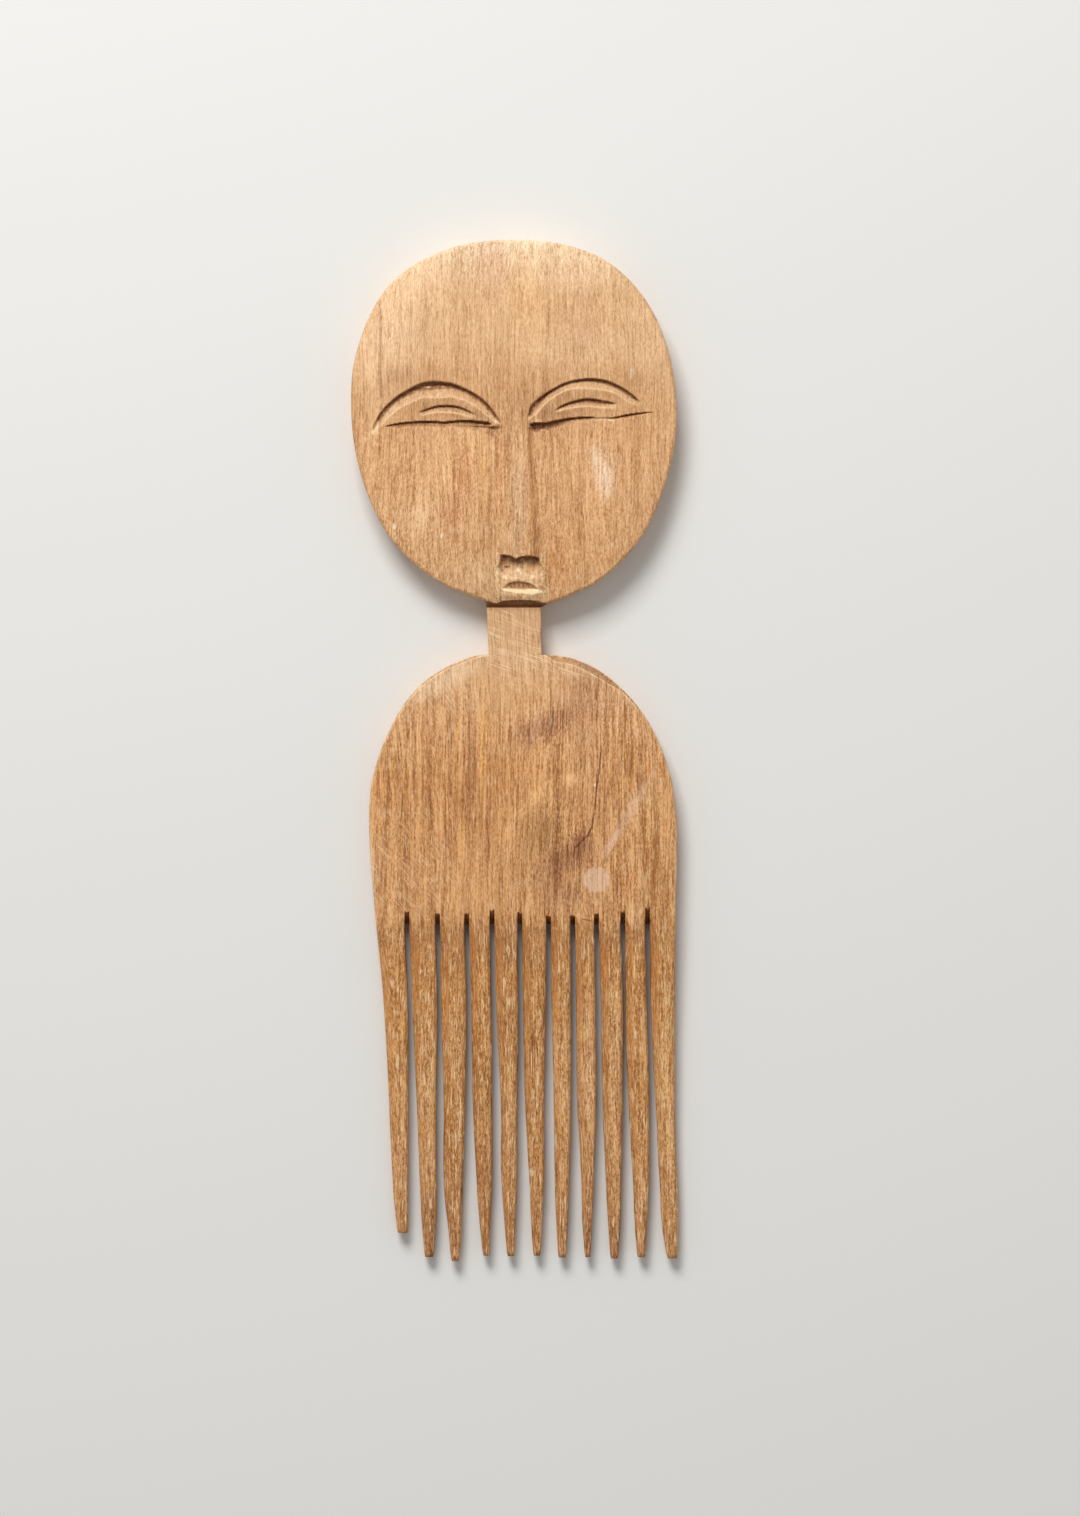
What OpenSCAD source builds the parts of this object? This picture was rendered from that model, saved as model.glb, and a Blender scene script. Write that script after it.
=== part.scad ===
// Hand-carved wooden afro pick, lying face up.
// A flat round head with a carved face, a short neck, an arched shoulder plate
// and a row of whittled teeth, all cut from one board along its grain.
// The back rests on z = 0, the head points to +Y, and the neck is centred on x = 0.

/* [Head] */
// Length of the head, from crown to chin
head_len = 89.7; // [78:0.1:102]
// Width of the head at its widest line
head_w = 79.9; // [70:0.1:90]
// Distance from the crown down to the widest line
crown_len = 41.2; // [36:0.1:46]
// How far the chin sits to the right of the neck's middle
chin_shift = 1.6; // [-3:0.1:3]
// Thickness of the head in the middle of the face
head_t = 12; // [11:0.1:14]
// Thickness that the face falls to at the rim
rim_t = 9.2; // [8.8:0.1:10]
// Width and height of the rounding round the rim
rim_ease = 0.8; // [0.4:0.1:1.2]

/* [Brows and eyes] */
// Radius of a brow arch, measured at the bottom of its groove
brow_r = 16.2; // [14.5:0.1:17.5]
// Width of a brow groove at the top of the arch
brow_w = 3; // [2.2:0.1:3.6]
// Depth of a brow groove at the top of the arch
brow_d = 1.3; // [0.8:0.1:1.8]
// Radius of the crease in an eyelid
crease_r = 13.2; // [12:0.1:14]
// Width of an eyelid crease
crease_w = 1.9; // [1.4:0.1:2.2]
// Depth of an eyelid crease
crease_d = 0.7; // [0.5:0.1:1]
// Length of the slit of the left eye
slit_len = 26; // [22:0.1:28]
// Width of an eye slit at the inner corner
slit_w = 1.7; // [1.2:0.1:2.2]
// Depth of an eye slit
slit_d = 1.1; // [0.8:0.1:1.6]

/* [Nose and mouth] */
// Length of the nose, from the eye slits to its tip
nose_len = 32.2; // [28:0.1:35]
// Width of the nose at its base between the eyes
bridge_w = 8.3; // [7:0.1:9.5]
// Width of the nose at its base at the tip
nose_w = 10.1; // [9:0.1:11.5]
// Height of the nose above the cheeks beside it
nose_h = 1.1; // [0.7:0.1:1.5]
// Width of the nose's sloping sides
flank_w = 1.7; // [1.2:0.1:2.2]
// Distance over which a cheek rises back to the face
cheek_w = 22; // [18:0.1:26]
// Length of the face below the nose, from its tip to the chin
mouth_len = 12.4; // [11:0.1:14]
// Width of the recess that the lips are carved in
mouth_w = 10.8; // [9.5:0.1:12]
// Depth of that recess below the tip of the nose
mouth_d = 2.4; // [2:0.1:2.8]
// Width of the sloping underside of the chin
chin_w = 14.6; // [13.4:0.1:16]
// Run of the chin's underside along the pick
chin_run = 1.5; // [1:0.1:2.2]

/* [Neck and shoulders] */
// Length of the neck, from chin to shoulders
neck_len = 11.6; // [9:0.1:15]
// Width of the neck
neck_w = 13.2; // [11:0.1:14]
// Thickness of the neck and of the shoulder line that it runs into
neck_t = 7.4; // [6.6:0.1:8]
// Easing of the long edges of the neck
neck_ease = 0.5; // [0.3:0.1:1]
// Length of the shoulder plate, from neck to tooth roots
plate_len = 66.6; // [58:0.1:76]
// Width of the shoulder plate at its widest line
plate_w = 75.4; // [68:0.1:84]
// Length of the rounded shoulders above that line
arch_len = 41; // [36:0.1:46]
// How far the shoulders sit to the right of the neck's middle
arch_shift = 1.4; // [-2:0.1:3]
// Width of the shoulder plate at the tooth roots
root_w = 73.4; // [66:0.1:80]
// How far the row of tooth roots sits to the right of the neck's middle
root_shift = 2.7; // [0:0.1:4]
// Thickness of the plate at the tooth roots
root_t = 6.8; // [6:0.1:8]
// Width of the bevel along the plate's front edge
bevel_w = 0.9; // [0.4:0.1:1.4]
// Height of that bevel
bevel_h = 2.4; // [1.5:0.1:3]

/* [Teeth] */
// Length of the longest tooth
tooth_len = 82.1; // [70:0.1:95]
// Distance between the middles of the first and last tips
tips_w = 66.1; // [60:0.1:70]
// How far the row of tips sits to the right of the neck's middle
tips_shift = 5.8; // [3:0.1:7]
// Width of a tooth at its tip
tip_w = 2.3; // [1.8:0.1:2.8]
// Thickness of a tooth at its tip
tip_t = 2.8; // [2.2:0.1:3.6]
// Rise of the underside of a tooth at its tip
tip_rise = 1.3; // [0.6:0.1:2]
// Width of the saw kerfs between the tooth roots
kerf_w = 1.2; // [0.8:0.1:1.6]
// How far a kerf runs up into the front of the plate
kerf_len = 3.4; // [2.4:0.1:4.5]
// How far a kerf runs up into the back of the plate
kerf_back = 0.5; // [0.3:0.1:1]

/* [Hidden] */
$fn = 96;

// Overrun of a cut past the surface that it opens
over = 2;

// Stations along the pick, from tips to crown
total_len = head_len + neck_len + plate_len + tooth_len;
tip_y = -total_len / 2;
root_y = tip_y + tooth_len;
shoulder_y = root_y + plate_len;
chin_y = shoulder_y + neck_len;
crown_y = chin_y + head_len;
wide_y = crown_y - crown_len;
nose_y = chin_y + mouth_len;
eye_y = nose_y + nose_len;
arch_y = shoulder_y - arch_len;

// Squareness of the head's outline above and below its widest line, of the
// shoulders' outline, of the plate's narrowing and of the fall of the face to its rim
crown_power = 2.33;
jaw_power = 2.02;
arch_power = 2.15;
waist_power = 1.5;
fall_power = 4;

// Points round the head, and the scales of the rings that shape its face
head_points = 96;
face_ring_shares = [0.9, 0.78, 0.62, 0.42, 0.2];

// Brow arches and lid creases, left eye then right eye: the middle of each circle,
// as shares of half the head's width and, below the eye line, of its own radius,
// and the direction of the groove's deepest point with the angle to either end
brow_side_shares = [-0.465, 0.453];
brow_drop_shares = [0.39, 0.37];
brow_mid = [92, 98];
brow_span = [68, 56];
crease_side_shares = [-0.403, 0.437];
crease_drop_shares = [0.7, 0.52];
crease_mid = [90, 93];
crease_span = [32, 32];
// Part of a groove's width that its steep outer wall takes
steep_share = 0.3;
// Angle that a groove's cut runs on past either end
run_out = 8;

// Eye slits, left then right: inner corner from the middle of the nose, in bridge
// widths, its drop below the eye line, in slit widths, the length in slit lengths,
// and how far the outer end is turned up
slit_corner_shares = [[0.58, 0.4], [0.48, 0.3]];
slit_len_shares = [1, 1.15];
slit_turn = [0, 6.3];
// Outline of a slit from its inner corner: shares of its length and of its width
slit_shares = [
    [0, -0.62], [0.02, 0.4], [0.12, 0.5], [0.3, 0.3], [0.7, 0.28], [1, 0],
    [0.7, -0.22], [0.3, -0.28], [0.12, -0.45]
];

// Carving below the nose, seen from the side: shares of mouth_len down from the
// nose and of mouth_d below it. Nose wall, hollow, upper lip, mouth, lower lip, chin
mouth_shares = [
    [0, 0], [0.02, 0.75], [0.12, 1], [0.3, 0.72], [0.41, 0.5], [0.47, 0.6],
    [0.61, 0.98], [0.7, 0.58], [0.86, 0.82], [1, 1.3]
];

// Middle of each kerf across the row of roots, as a share of root_w
kerf_shares = [0.106, 0.208, 0.305, 0.39, 0.482, 0.578, 0.659, 0.738, 0.826, 0.908];
// Middle of each tip across the row of tips, as a share of tips_w
tip_shares = [0, 0.098, 0.194, 0.309, 0.4, 0.497, 0.591, 0.687, 0.785, 0.885, 1];
// Length of each tooth, as a share of tooth_len
length_shares = [0.916, 0.988, 1, 0.984, 0.985, 0.984, 0.989, 0.988, 0.992, 0.988, 0.992];
// Stations along a tooth, as shares of its length
station_shares = [0, 0.12, 0.24, 0.36, 0.48, 0.6, 0.7, 0.8, 0.88, 0.95, 0.99, 1];
// Squareness of a tooth's section at its root and at its tip, and of its taper
root_power = 7;
tip_power = 2.5;
taper_power = 2.5;
tooth_points = 16;
// Blunting of the last ring of a tooth, as a share of its width
blunt_share = 0.86;

// Power that keeps the sign of its base
function signed_pow(v, p) = sign(v) * pow(abs(v), p);

function mix(a, b, t) = a + (b - a) * t;

// Middle of the head's outline at a height, drawn towards the chin's side below
function head_mid(y) =
    let (t = max(0, (wide_y - y) / (head_len - crown_len)))
    chin_shift * t * t;

// Point on the head's outline, shrunk to a scale about the widest line
function head_point(a, scale) =
    let (
        low = sin(a) < 0,
        p = 2 / (low ? jaw_power : crown_power),
        y = wide_y + scale * (low ? head_len - crown_len : crown_len) * signed_pow(sin(a), p)
    )
    [head_mid(y) + scale * head_w / 2 * signed_pow(cos(a), p), y];

// Scale of the outline that passes through a point of the face
function face_share(x, y) =
    let (
        low = y < wide_y,
        p = low ? jaw_power : crown_power,
        u = abs(x - head_mid(y)) / (head_w / 2),
        v = abs(y - wide_y) / (low ? head_len - crown_len : crown_len)
    )
    min(1, pow(pow(u, p) + pow(v, p), 1 / p));

// Height of the face before carving, at an outline scale and at a point
function face_fall(share) = rim_t + (head_t - rim_t) * (1 - pow(share, fall_power));
function face_z(x, y) = face_fall(face_share(x, y));

function head_ring(scale, z) =
    [for (i = [0 : head_points - 1]) concat(head_point(360 * i / head_points, scale), z)];

// Share of the way from the plate's widest line to its roots, 0 above that line
function waist_share(y) = pow(max(0, (arch_y - y) / (arch_y - root_y)), waist_power);

// Half the plate's width at a height, with its edge drawn in by an inset
function plate_half(y, inset) =
    let (v = max(0, min(1, (y - arch_y) / (arch_len - inset))))
    (mix(plate_w, root_w, waist_share(y)) / 2 - inset) * pow(1 - pow(v, arch_power), 1 / arch_power);

// Edge of the plate on one side, which never comes inside the neck
function plate_edge(y, inset, side) =
    let (mid = mix(arch_shift, root_shift, waist_share(y)))
    side * max(neck_w / 2, side * mid + plate_half(y, inset));

// Heights of the plate's outline points, closer together towards the shoulders
plate_rows = [for (i = [0 : 28]) root_y + plate_len * sin(90 * i / 28)];

function plate_front(y) = mix(root_t, neck_t, (y - root_y) / plate_len);

// One outline of the plate: up its right side and down its left, at a constant
// height, or at a depth below the sloping front where below is given
function plate_ring(inset, z, below = undef) =
    let (up = [for (y = plate_rows) [plate_edge(y, inset, 1), y]],
         down = [for (y = reversed(plate_rows)) [plate_edge(y, inset, -1), y]])
    [for (p = concat(up, down)) [p.x, p.y, is_undef(below) ? z : plate_front(p.y) - below]];

function reversed(list) = [for (i = [len(list) - 1 : -1 : 0]) list[i]];

function kerf_x(i) = root_shift + (kerf_shares[i] - 1 / 2) * root_w;

// Edges of a tooth at its root: the plate's side or the wall of a kerf
function root_left(i) = i == 0 ? root_shift - root_w / 2 : kerf_x(i - 1) + kerf_w / 2;
function root_right(i) = i == len(kerf_shares) ? root_shift + root_w / 2 : kerf_x(i) - kerf_w / 2;

// Section of a tooth at a share of its length: 0 at the root and 1 at the tip
function tooth_ring(i, u, blunt = 1) =
    let (
        thin = pow(u, taper_power),
        left = root_left(i),
        right = root_right(i),
        mid_x = mix((left + right) / 2, tips_shift + (tip_shares[i] - 1 / 2) * tips_w, u),
        w = mix(right - left, tip_w, thin) * blunt,
        low = mix(0, tip_rise, thin),
        t = mix(root_t, tip_t, u),
        p = 2 / mix(root_power, tip_power, u),
        y = root_y - u * length_shares[i] * tooth_len
    )
    [for (k = [0 : tooth_points - 1])
        let (a = 360 * (k + 1 / 2) / tooth_points)
        [mid_x + w / 2 * signed_pow(cos(a), p), y, low + t / 2 + t * blunt / 2 * signed_pow(sin(a), p)]];

function sum(list, i = 0) = i == len(list) - 1 ? list[i] : list[i] + sum(list, i + 1);

// Closed skin over a stack of outlines with as many points each, listed from the
// first end to the last, and each running anticlockwise as seen from the last end
module loft(rings) {
    n = len(rings[0]);
    last = len(rings) - 1;
    points = concat([for (ring = rings) each ring], [sum(rings[0]) / n, sum(rings[last]) / n]);
    sides = [
        for (r = [0 : last - 1], i = [0 : n - 1])
            let (a = r * n + i, b = r * n + (i + 1) % n)
            each [[a, a + n, b + n], [a, b + n, b]]
    ];
    first_cap = [for (i = [0 : n - 1]) [n * (last + 1), i, (i + 1) % n]];
    last_cap = [for (i = [0 : n - 1]) [n * (last + 1) + 1, last * n + (i + 1) % n, last * n + i]];
    polyhedron(points, concat(sides, first_cap, last_cap), convexity = 6);
}

module head_blank() {
    loft(concat(
        [
            head_ring(1 - rim_ease / head_w, 0),
            head_ring(1, rim_ease),
            head_ring(1, rim_t - rim_ease),
            head_ring(1 - 2 * rim_ease / head_w, face_fall(1 - 2 * rim_ease / head_w))
        ],
        [for (share = face_ring_shares) head_ring(share, face_fall(share))]
    ));
}

// Curved knife groove that is deepest at its middle and runs out at both ends
module groove(centre, r, w, d, middle, span) {
    top = centre + r * [cos(middle), sin(middle)];
    ends = [for (a = [middle - span, middle + span]) centre + r * [cos(a), sin(a)]];
    floor_z = face_z(top.x, top.y) - d;
    rise = [for (end = ends) face_z(end.x, end.y) - floor_z];
    lift = atan((rise[0] + rise[1]) / 2 / (r * (1 - cos(span))));
    roll = atan((rise[0] - rise[1]) / (2 * r * sin(span)));
    translate([top.x, top.y, floor_z])
        rotate([0, 0, middle - 90])
            rotate([-lift, -roll, 0])
                translate([0, -r, 0])
                    rotate_extrude(angle = 2 * (span + run_out), start = 90 - span - run_out)
                        polygon([
                            [r, 0],
                            [r + 2 * w * steep_share, 2 * d],
                            [r - 2 * w * (1 - steep_share), 2 * d]
                        ]);
}

module brow_groove(eye) {
    centre = [brow_side_shares[eye] * head_w / 2, eye_y - brow_drop_shares[eye] * brow_r];
    groove(centre, brow_r, brow_w, brow_d, brow_mid[eye], brow_span[eye]);
}

module lid_crease(eye) {
    centre = [crease_side_shares[eye] * head_w / 2, eye_y - crease_drop_shares[eye] * crease_r];
    groove(centre, crease_r, crease_w, crease_d, crease_mid[eye], crease_span[eye]);
}

module eye_slit(eye) {
    side = eye == 0 ? -1 : 1;
    length = slit_len_shares[eye] * slit_len;
    inner = [side * slit_corner_shares[eye].x * bridge_w, eye_y - slit_corner_shares[eye].y * slit_w];
    outer = inner + length * [side * cos(slit_turn[eye]), sin(slit_turn[eye])];
    floor_z = face_z(inner.x, inner.y) - slit_d;
    fall = atan((floor_z - face_z(outer.x, outer.y) + slit_w / 2) / length);
    translate([inner.x, inner.y, floor_z])
        rotate([0, side * fall, side * slit_turn[eye]])
            linear_extrude(slit_d + over)
                polygon([for (p = slit_shares) [side * p.x * length, p.y * slit_w]]);
}

// Wedge that lowers one cheek beside the nose, side -1 for left and 1 for right
module cheek_cut(side) {
    top_x = side * bridge_w / 2;
    tip_x = chin_shift + side * nose_w / 2;
    top_z = face_z(top_x, eye_y);
    fall = atan((top_z - face_z(tip_x, nose_y)) / nose_len);
    translate([top_x, eye_y, top_z])
        rotate([0, 0, atan((tip_x - top_x) / nose_len)])
            rotate([90 + fall, 0, 0])
                linear_extrude(nose_len + mouth_len)
                    polygon([
                        [-side * 2 * flank_w, nose_h],
                        [0, -nose_h],
                        [side * cheek_w, 0],
                        [side * cheek_w, nose_h]
                    ]);
}

// Cut across the pick with a side view given as points of y and z
module across(middle, w) {
    translate([middle - w / 2, 0, 0])
        rotate([90, 0, 90])
            linear_extrude(w)
                children();
}

module mouth_cut() {
    top_z = face_z(chin_shift, nose_y);
    across(chin_shift, mouth_w)
        polygon(concat(
            [for (p = mouth_shares) [nose_y - p.x * mouth_len, top_z - p.y * mouth_d]],
            [[chin_y - over, top_z - mouth_d], [chin_y - over, top_z + over], [nose_y, top_z + over]]
        ));
}

// Sloping underside of the chin, down to the front of the neck
module chin_cut() {
    across(chin_shift / 2, chin_w)
        polygon([
            [chin_y + chin_run, rim_t],
            [chin_y, neck_t],
            [chin_y - over, neck_t],
            [chin_y - over, head_t],
            [chin_y + chin_run, head_t]
        ]);
}

module head() {
    color([0.84, 0.66, 0.47])
        difference() {
            head_blank();
            for (eye = [0, 1]) {
                brow_groove(eye);
                lid_crease(eye);
                eye_slit(eye);
            }
            cheek_cut(-1);
            cheek_cut(1);
            mouth_cut();
            chin_cut();
        }
}

module neck() {
    half = neck_w / 2;
    color([0.83, 0.67, 0.47])
        difference() {
            translate([0, chin_y + mouth_len / 2, 0])
                rotate([90, 0, 0])
                    linear_extrude(neck_len + mouth_len / 2)
                        polygon([
                            [-half + neck_ease, 0],
                            [half - neck_ease, 0],
                            [half, neck_ease],
                            [half, neck_t - neck_ease],
                            [half - neck_ease, neck_t],
                            [-half + neck_ease, neck_t],
                            [-half, neck_t - neck_ease],
                            [-half, neck_ease]
                        ]);
            head_blank();
        }
}

// Saw kerf that slopes from the back of the plate up to its front
module kerf(i) {
    across(kerf_x(i), kerf_w)
        polygon([
            [root_y - over, -over],
            [root_y + kerf_back, -over],
            [root_y + kerf_back, 0],
            [root_y + kerf_len, root_t],
            [root_y + kerf_len, root_t + over],
            [root_y - over, root_t + over]
        ]);
}

module shoulder_plate() {
    color([0.8, 0.62, 0.41])
        difference() {
            loft([
                plate_ring(neck_ease, 0),
                plate_ring(0, neck_ease),
                plate_ring(0, 0, bevel_h),
                plate_ring(bevel_w, 0, 0)
            ]);
            for (i = [0 : len(kerf_shares) - 1])
                kerf(i);
        }
}

module tooth(i) {
    last = len(station_shares) - 1;
    color([0.76, 0.56, 0.36])
        loft([for (k = [0 : last]) tooth_ring(i, station_shares[k], k == last ? blunt_share : 1)]);
}

head();
neck();
shoulder_plate();
for (i = [0 : len(tip_shares) - 1])
    tooth(i);
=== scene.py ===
# Afro pick carved from one board: the surface of every piece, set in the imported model's frame.
# Lengths are in millimetres until a mesh is made. x runs across the pick, y along it from
# the teeth to the crown, and z up from the back that it rests on.
from math import radians

import bpy
import numpy as np
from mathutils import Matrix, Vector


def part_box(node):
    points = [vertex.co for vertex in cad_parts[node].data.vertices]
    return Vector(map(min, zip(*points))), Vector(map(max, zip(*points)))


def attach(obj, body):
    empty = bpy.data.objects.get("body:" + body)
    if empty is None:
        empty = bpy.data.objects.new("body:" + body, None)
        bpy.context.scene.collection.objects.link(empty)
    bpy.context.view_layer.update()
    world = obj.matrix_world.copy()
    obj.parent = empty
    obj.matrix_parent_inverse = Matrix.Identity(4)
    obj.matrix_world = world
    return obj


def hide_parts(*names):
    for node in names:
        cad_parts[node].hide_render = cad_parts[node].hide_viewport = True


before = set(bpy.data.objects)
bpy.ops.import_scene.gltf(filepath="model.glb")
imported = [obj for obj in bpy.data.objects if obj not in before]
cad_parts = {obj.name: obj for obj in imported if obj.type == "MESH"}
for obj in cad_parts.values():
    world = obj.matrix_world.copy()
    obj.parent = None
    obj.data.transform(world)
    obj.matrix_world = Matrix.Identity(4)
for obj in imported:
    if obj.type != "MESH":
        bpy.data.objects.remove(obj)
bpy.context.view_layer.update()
MM = 0.001


def node_box(node):
    """Lowest and highest corner of a CAD node, in millimetres."""
    return [[value / MM for value in corner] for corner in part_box(node)]


(_, CHIN_Y, _), (_, CROWN_Y, _) = node_box("head")
(_, ROOT_Y, _), (_, SHOULDER_Y, _) = node_box("shoulder_plate")
TOOTH_NODES = sorted(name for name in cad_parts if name.startswith("tooth_"))

# Head: widest line, half width, and squareness of the outline above and below that line
WIDE_Y = CROWN_Y - 41.2
HEAD_HALF = 39.95
CROWN_POWER = 2.33
JAW_POWER = 2.02
CHIN_SHIFT = 1.6
FACE_HIGH = 11.95
RIM_HIGH = 9.2
RIM_ROUND = 0.8
BACK_ROUND = 0.8
HEAD_LEAN = 1

# How far the carved outline of the head strays from that curve: y, left edge, right edge
HEAD_STRAYS = [
    (39.9, 0.22, -0.4), (46, -0.45, -0.25), (53, -0.5, 0), (61, 0, -0.2), (68, 0.15, -0.25),
    (77, 0.2, -0.05), (85, 0.13, -0.13), (93, -0.05, -0.6), (101, 0.17, -0.9), (108, 0, -0.9),
    (113, -0.35, -0.8), (118, -0.3, -0.4), (121, 0.2, 0), (124.6, 0, 0), (125, 0, 0),
]
# Straight jaw lines that run in to the neck: y, left edge, right edge
JAW_LINES = [
    (35.3, -6.75, 6.6), (36.1, -6.8, 8.2), (36.7, -6.9, 9.9), (37.9, -10.3, 13.2), (39.9, -15.6, 17.6),
]

# Neck: y, left edge, right edge
NECK_LINES = [
    (23.7, -6.2, 6.8), (25.5, -6.25, 6.75), (28.6, -6.35, 6.5), (31.7, -6.55, 6.8), (35.3, -6.75, 6.6),
]
NECK_HIGH = 7.4
NECK_ROUND = 0.5

# Shoulder plate: y, left edge, right edge
PLATE_LINES = [
    (-42.9, -33.7, 39.5), (-36, -34.3, 39.6), (-28, -35, 39.85), (-20, -35.45, 39.9),
    (-14, -35.45, 39.55), (-8, -34.95, 38.7), (-4, -33.95, 37.65), (0, -32.7, 36.35), (4, -31, 34.65),
    (8, -29, 32.4), (12, -26.55, 29.45), (15, -24.1, 26.65), (17, -22, 24.5), (19, -19.3, 22),
    (20.5, -16.8, 19.6), (21.5, -14.5, 17.5), (22.5, -12.1, 15), (23, -10.9, 13.2), (23.4, -9.2, 10.6),
    (23.7, -6.2, 6.8),
]
ROOT_HALF = 36.7
ROOT_SHIFT = 2.7
ROOT_HIGH = 6.8

# Bevel along the plate's front edge: y, width on the left, width on the right
BEVELS = [
    (-43, 0.25, 0.3), (0, 0.3, 0.35), (14.5, 0.35, 0.45), (16.5, 0.5, 1.2), (18.5, 0.55, 1.5),
    (22.5, 0.6, 1.5), (24, 0.5, 1),
]
BEVEL_STEEP = 1.2

# Brow grooves, left eye then right: the upper edge from left to right as x, y, then the
# width of the dark wall, the width of the pale slope and the depth
BROWS = [
    [(-35.2, 77.4, 0.3, 0.4, 0), (-34.6, 79, 0.6, 0.9, 0.3), (-33.4, 81.6, 0.9, 1.4, 0.5),
     (-31.6, 84.1, 1.1, 1.6, 0.75), (-28.5, 86.8, 1.1, 2, 1), (-26.4, 88.1, 1.4, 2, 1.1),
     (-24.3, 89.3, 1.7, 2, 1.2), (-22.2, 90.1, 1.8, 2.3, 1.25), (-19.7, 90.45, 1.8, 2.6, 1.25),
     (-16, 90.1, 1.5, 2.4, 1.25), (-14, 89.5, 1.1, 2.3, 1.2), (-11.9, 88.6, 1, 2, 1.15),
     (-9.8, 87.5, 1, 1.75, 1.1), (-7.7, 86.1, 1, 1.6, 1), (-5.7, 84.1, 0.95, 1.5, 0.9),
     (-3.6, 81.1, 0.6, 0.8, 0.5), (-2.9, 80.1, 0.3, 0.4, 0)],
    [(3.3, 81.2, 0.4, 0.8, 0), (3.5, 82.7, 0.9, 1.3, 0.7), (4, 84.3, 1.4, 1.2, 1),
     (5.7, 86, 1.2, 1.2, 1.05), (7.8, 87.45, 0.65, 1.4, 1.1), (9.9, 88.65, 0.45, 1.5, 1.1),
     (12, 89.75, 0.45, 1.5, 1.1), (14.1, 90.45, 0.55, 1.6, 1.1), (16.2, 90.85, 0.65, 1.8, 1.1),
     (18.3, 91.05, 0.75, 1.9, 1.15), (20.4, 90.95, 0.9, 1.8, 1.15), (22.5, 90.6, 1, 1.7, 1.1),
     (24.6, 89.8, 0.9, 1.5, 1), (26.7, 88.7, 0.85, 1.4, 0.9), (28.8, 87.3, 0.85, 1.5, 0.7),
     (30.5, 85.8, 0.6, 1.2, 0.35), (31.2, 85.1, 0.3, 0.9, 0)],
]
# Creases in the lids, in the same way
CREASES = [
    [(-23.4, 82.8, 0.3, 0.4, 0), (-22.8, 83, 0.4, 0.8, 0.35), (-21, 83.7, 0.55, 1, 0.6),
     (-19.1, 84.3, 0.6, 1.2, 0.75), (-16.5, 84.55, 0.7, 1.3, 0.8), (-14, 84.3, 0.65, 1.3, 0.8),
     (-12.3, 83.75, 0.55, 1.3, 0.7), (-10.6, 82.9, 0.45, 1.1, 0.5), (-9, 81.8, 0.3, 0.6, 0)],
    [(9.8, 83.1, 0.3, 0.4, 0), (10.3, 83.6, 0.4, 0.6, 0.35), (12.7, 84.9, 0.65, 0.9, 0.7),
     (15.7, 85.85, 0.85, 1.15, 0.85), (18.2, 86.2, 0.95, 1.25, 0.9), (21.4, 85.75, 0.9, 1.15, 0.8),
     (23.9, 85.2, 0.5, 1.1, 0.5), (24.5, 85, 0.4, 1.2, 0.45), (24.9, 84.9, 0.3, 1.1, 0)],
]
# Eye slits, in the same way, each following its upper edge
SLITS = [
    [(-31.7, 79.2, 0.15, 0.15, 0), (-31, 79.5, 0.25, 0.2, 0.5), (-29, 80, 0.4, 0.9, 0.9),
     (-27, 80.3, 0.45, 1, 1), (-25, 80.5, 0.45, 1, 1), (-23, 80.6, 0.5, 1.1, 1),
     (-21, 80.7, 0.6, 1, 1.1), (-19, 80.6, 0.6, 1, 1), (-17, 80.5, 0.6, 1.1, 1),
     (-15, 80.7, 0.6, 1, 1.1), (-13, 80.8, 0.6, 0.9, 1.1), (-11, 80.9, 0.7, 1.1, 1.2),
     (-9, 80.7, 0.8, 1.3, 1.3), (-7.7, 80.6, 0.9, 1.3, 1.3), (-6.2, 80.4, 0.9, 1, 1.1),
     (-5.2, 79.8, 0.3, 0.3, 0)],
    [(3.6, 79.6, 0.3, 0.7, 0), (4.2, 80, 0.8, 1.7, 1.5), (5.5, 80.3, 0.9, 1.9, 1.6),
     (7.6, 80.25, 0.8, 1.5, 1.5), (10.2, 80.8, 0.8, 1.1, 1.4), (12.2, 81.2, 0.7, 0.8, 1.2),
     (14.2, 81.45, 0.6, 0.6, 1.1), (18, 81.7, 0.5, 0.5, 1), (19.9, 81.5, 0.3, 0.5, 0.35),
     (22.6, 81.4, 0.3, 0.5, 0.3), (24.2, 81.5, 0.3, 0.4, 0.6), (27.4, 82.2, 0.45, 0.45, 0.9),
     (30.1, 82.6, 0.4, 0.35, 0.8), (32.5, 82.8, 0.25, 0.2, 0.5), (34.8, 82.8, 0.1, 0.1, 0)],
]
# The cheeks start at the slits: x, y
SLIT_FLOORS = [
    (-40, 78), (-31, 78.9), (-22.7, 79.6), (-5, 79.1), (0, 78.8), (3.9, 79), (14, 80.6), (34, 82.5),
]

# Nose: y, then x of the left flank's foot and top and of the right flank's top and foot
NOSE_FLANKS = [
    (48, -4.3, -3.1, 4.4, 6.4), (60, -4.7, -2.6, 4, 6), (72.4, -4.7, -2.2, 3.2, 4.8),
    (80, -4.6, -2, 2.9, 4.3),
]
CHEEK_DROP = 0.9
CHEEK_REACH = 22
# Edge of the underside of the nose, left to right: x, y
NOSE_EDGE = [
    (-6, 47.9), (-3.3, 47.97), (-2.1, 47.97), (-1.3, 47.9), (-0.6, 47.66), (0.5, 47.15), (1.4, 47.53),
    (2.4, 47.72), (3.5, 47.78), (4.8, 47.72), (6.2, 47.45), (8, 47.4),
]
NOSE_SHADE = 1.9
NOSE_WALL_RUN = 0.6
NOSE_WALL_RISE = 2.6
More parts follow.
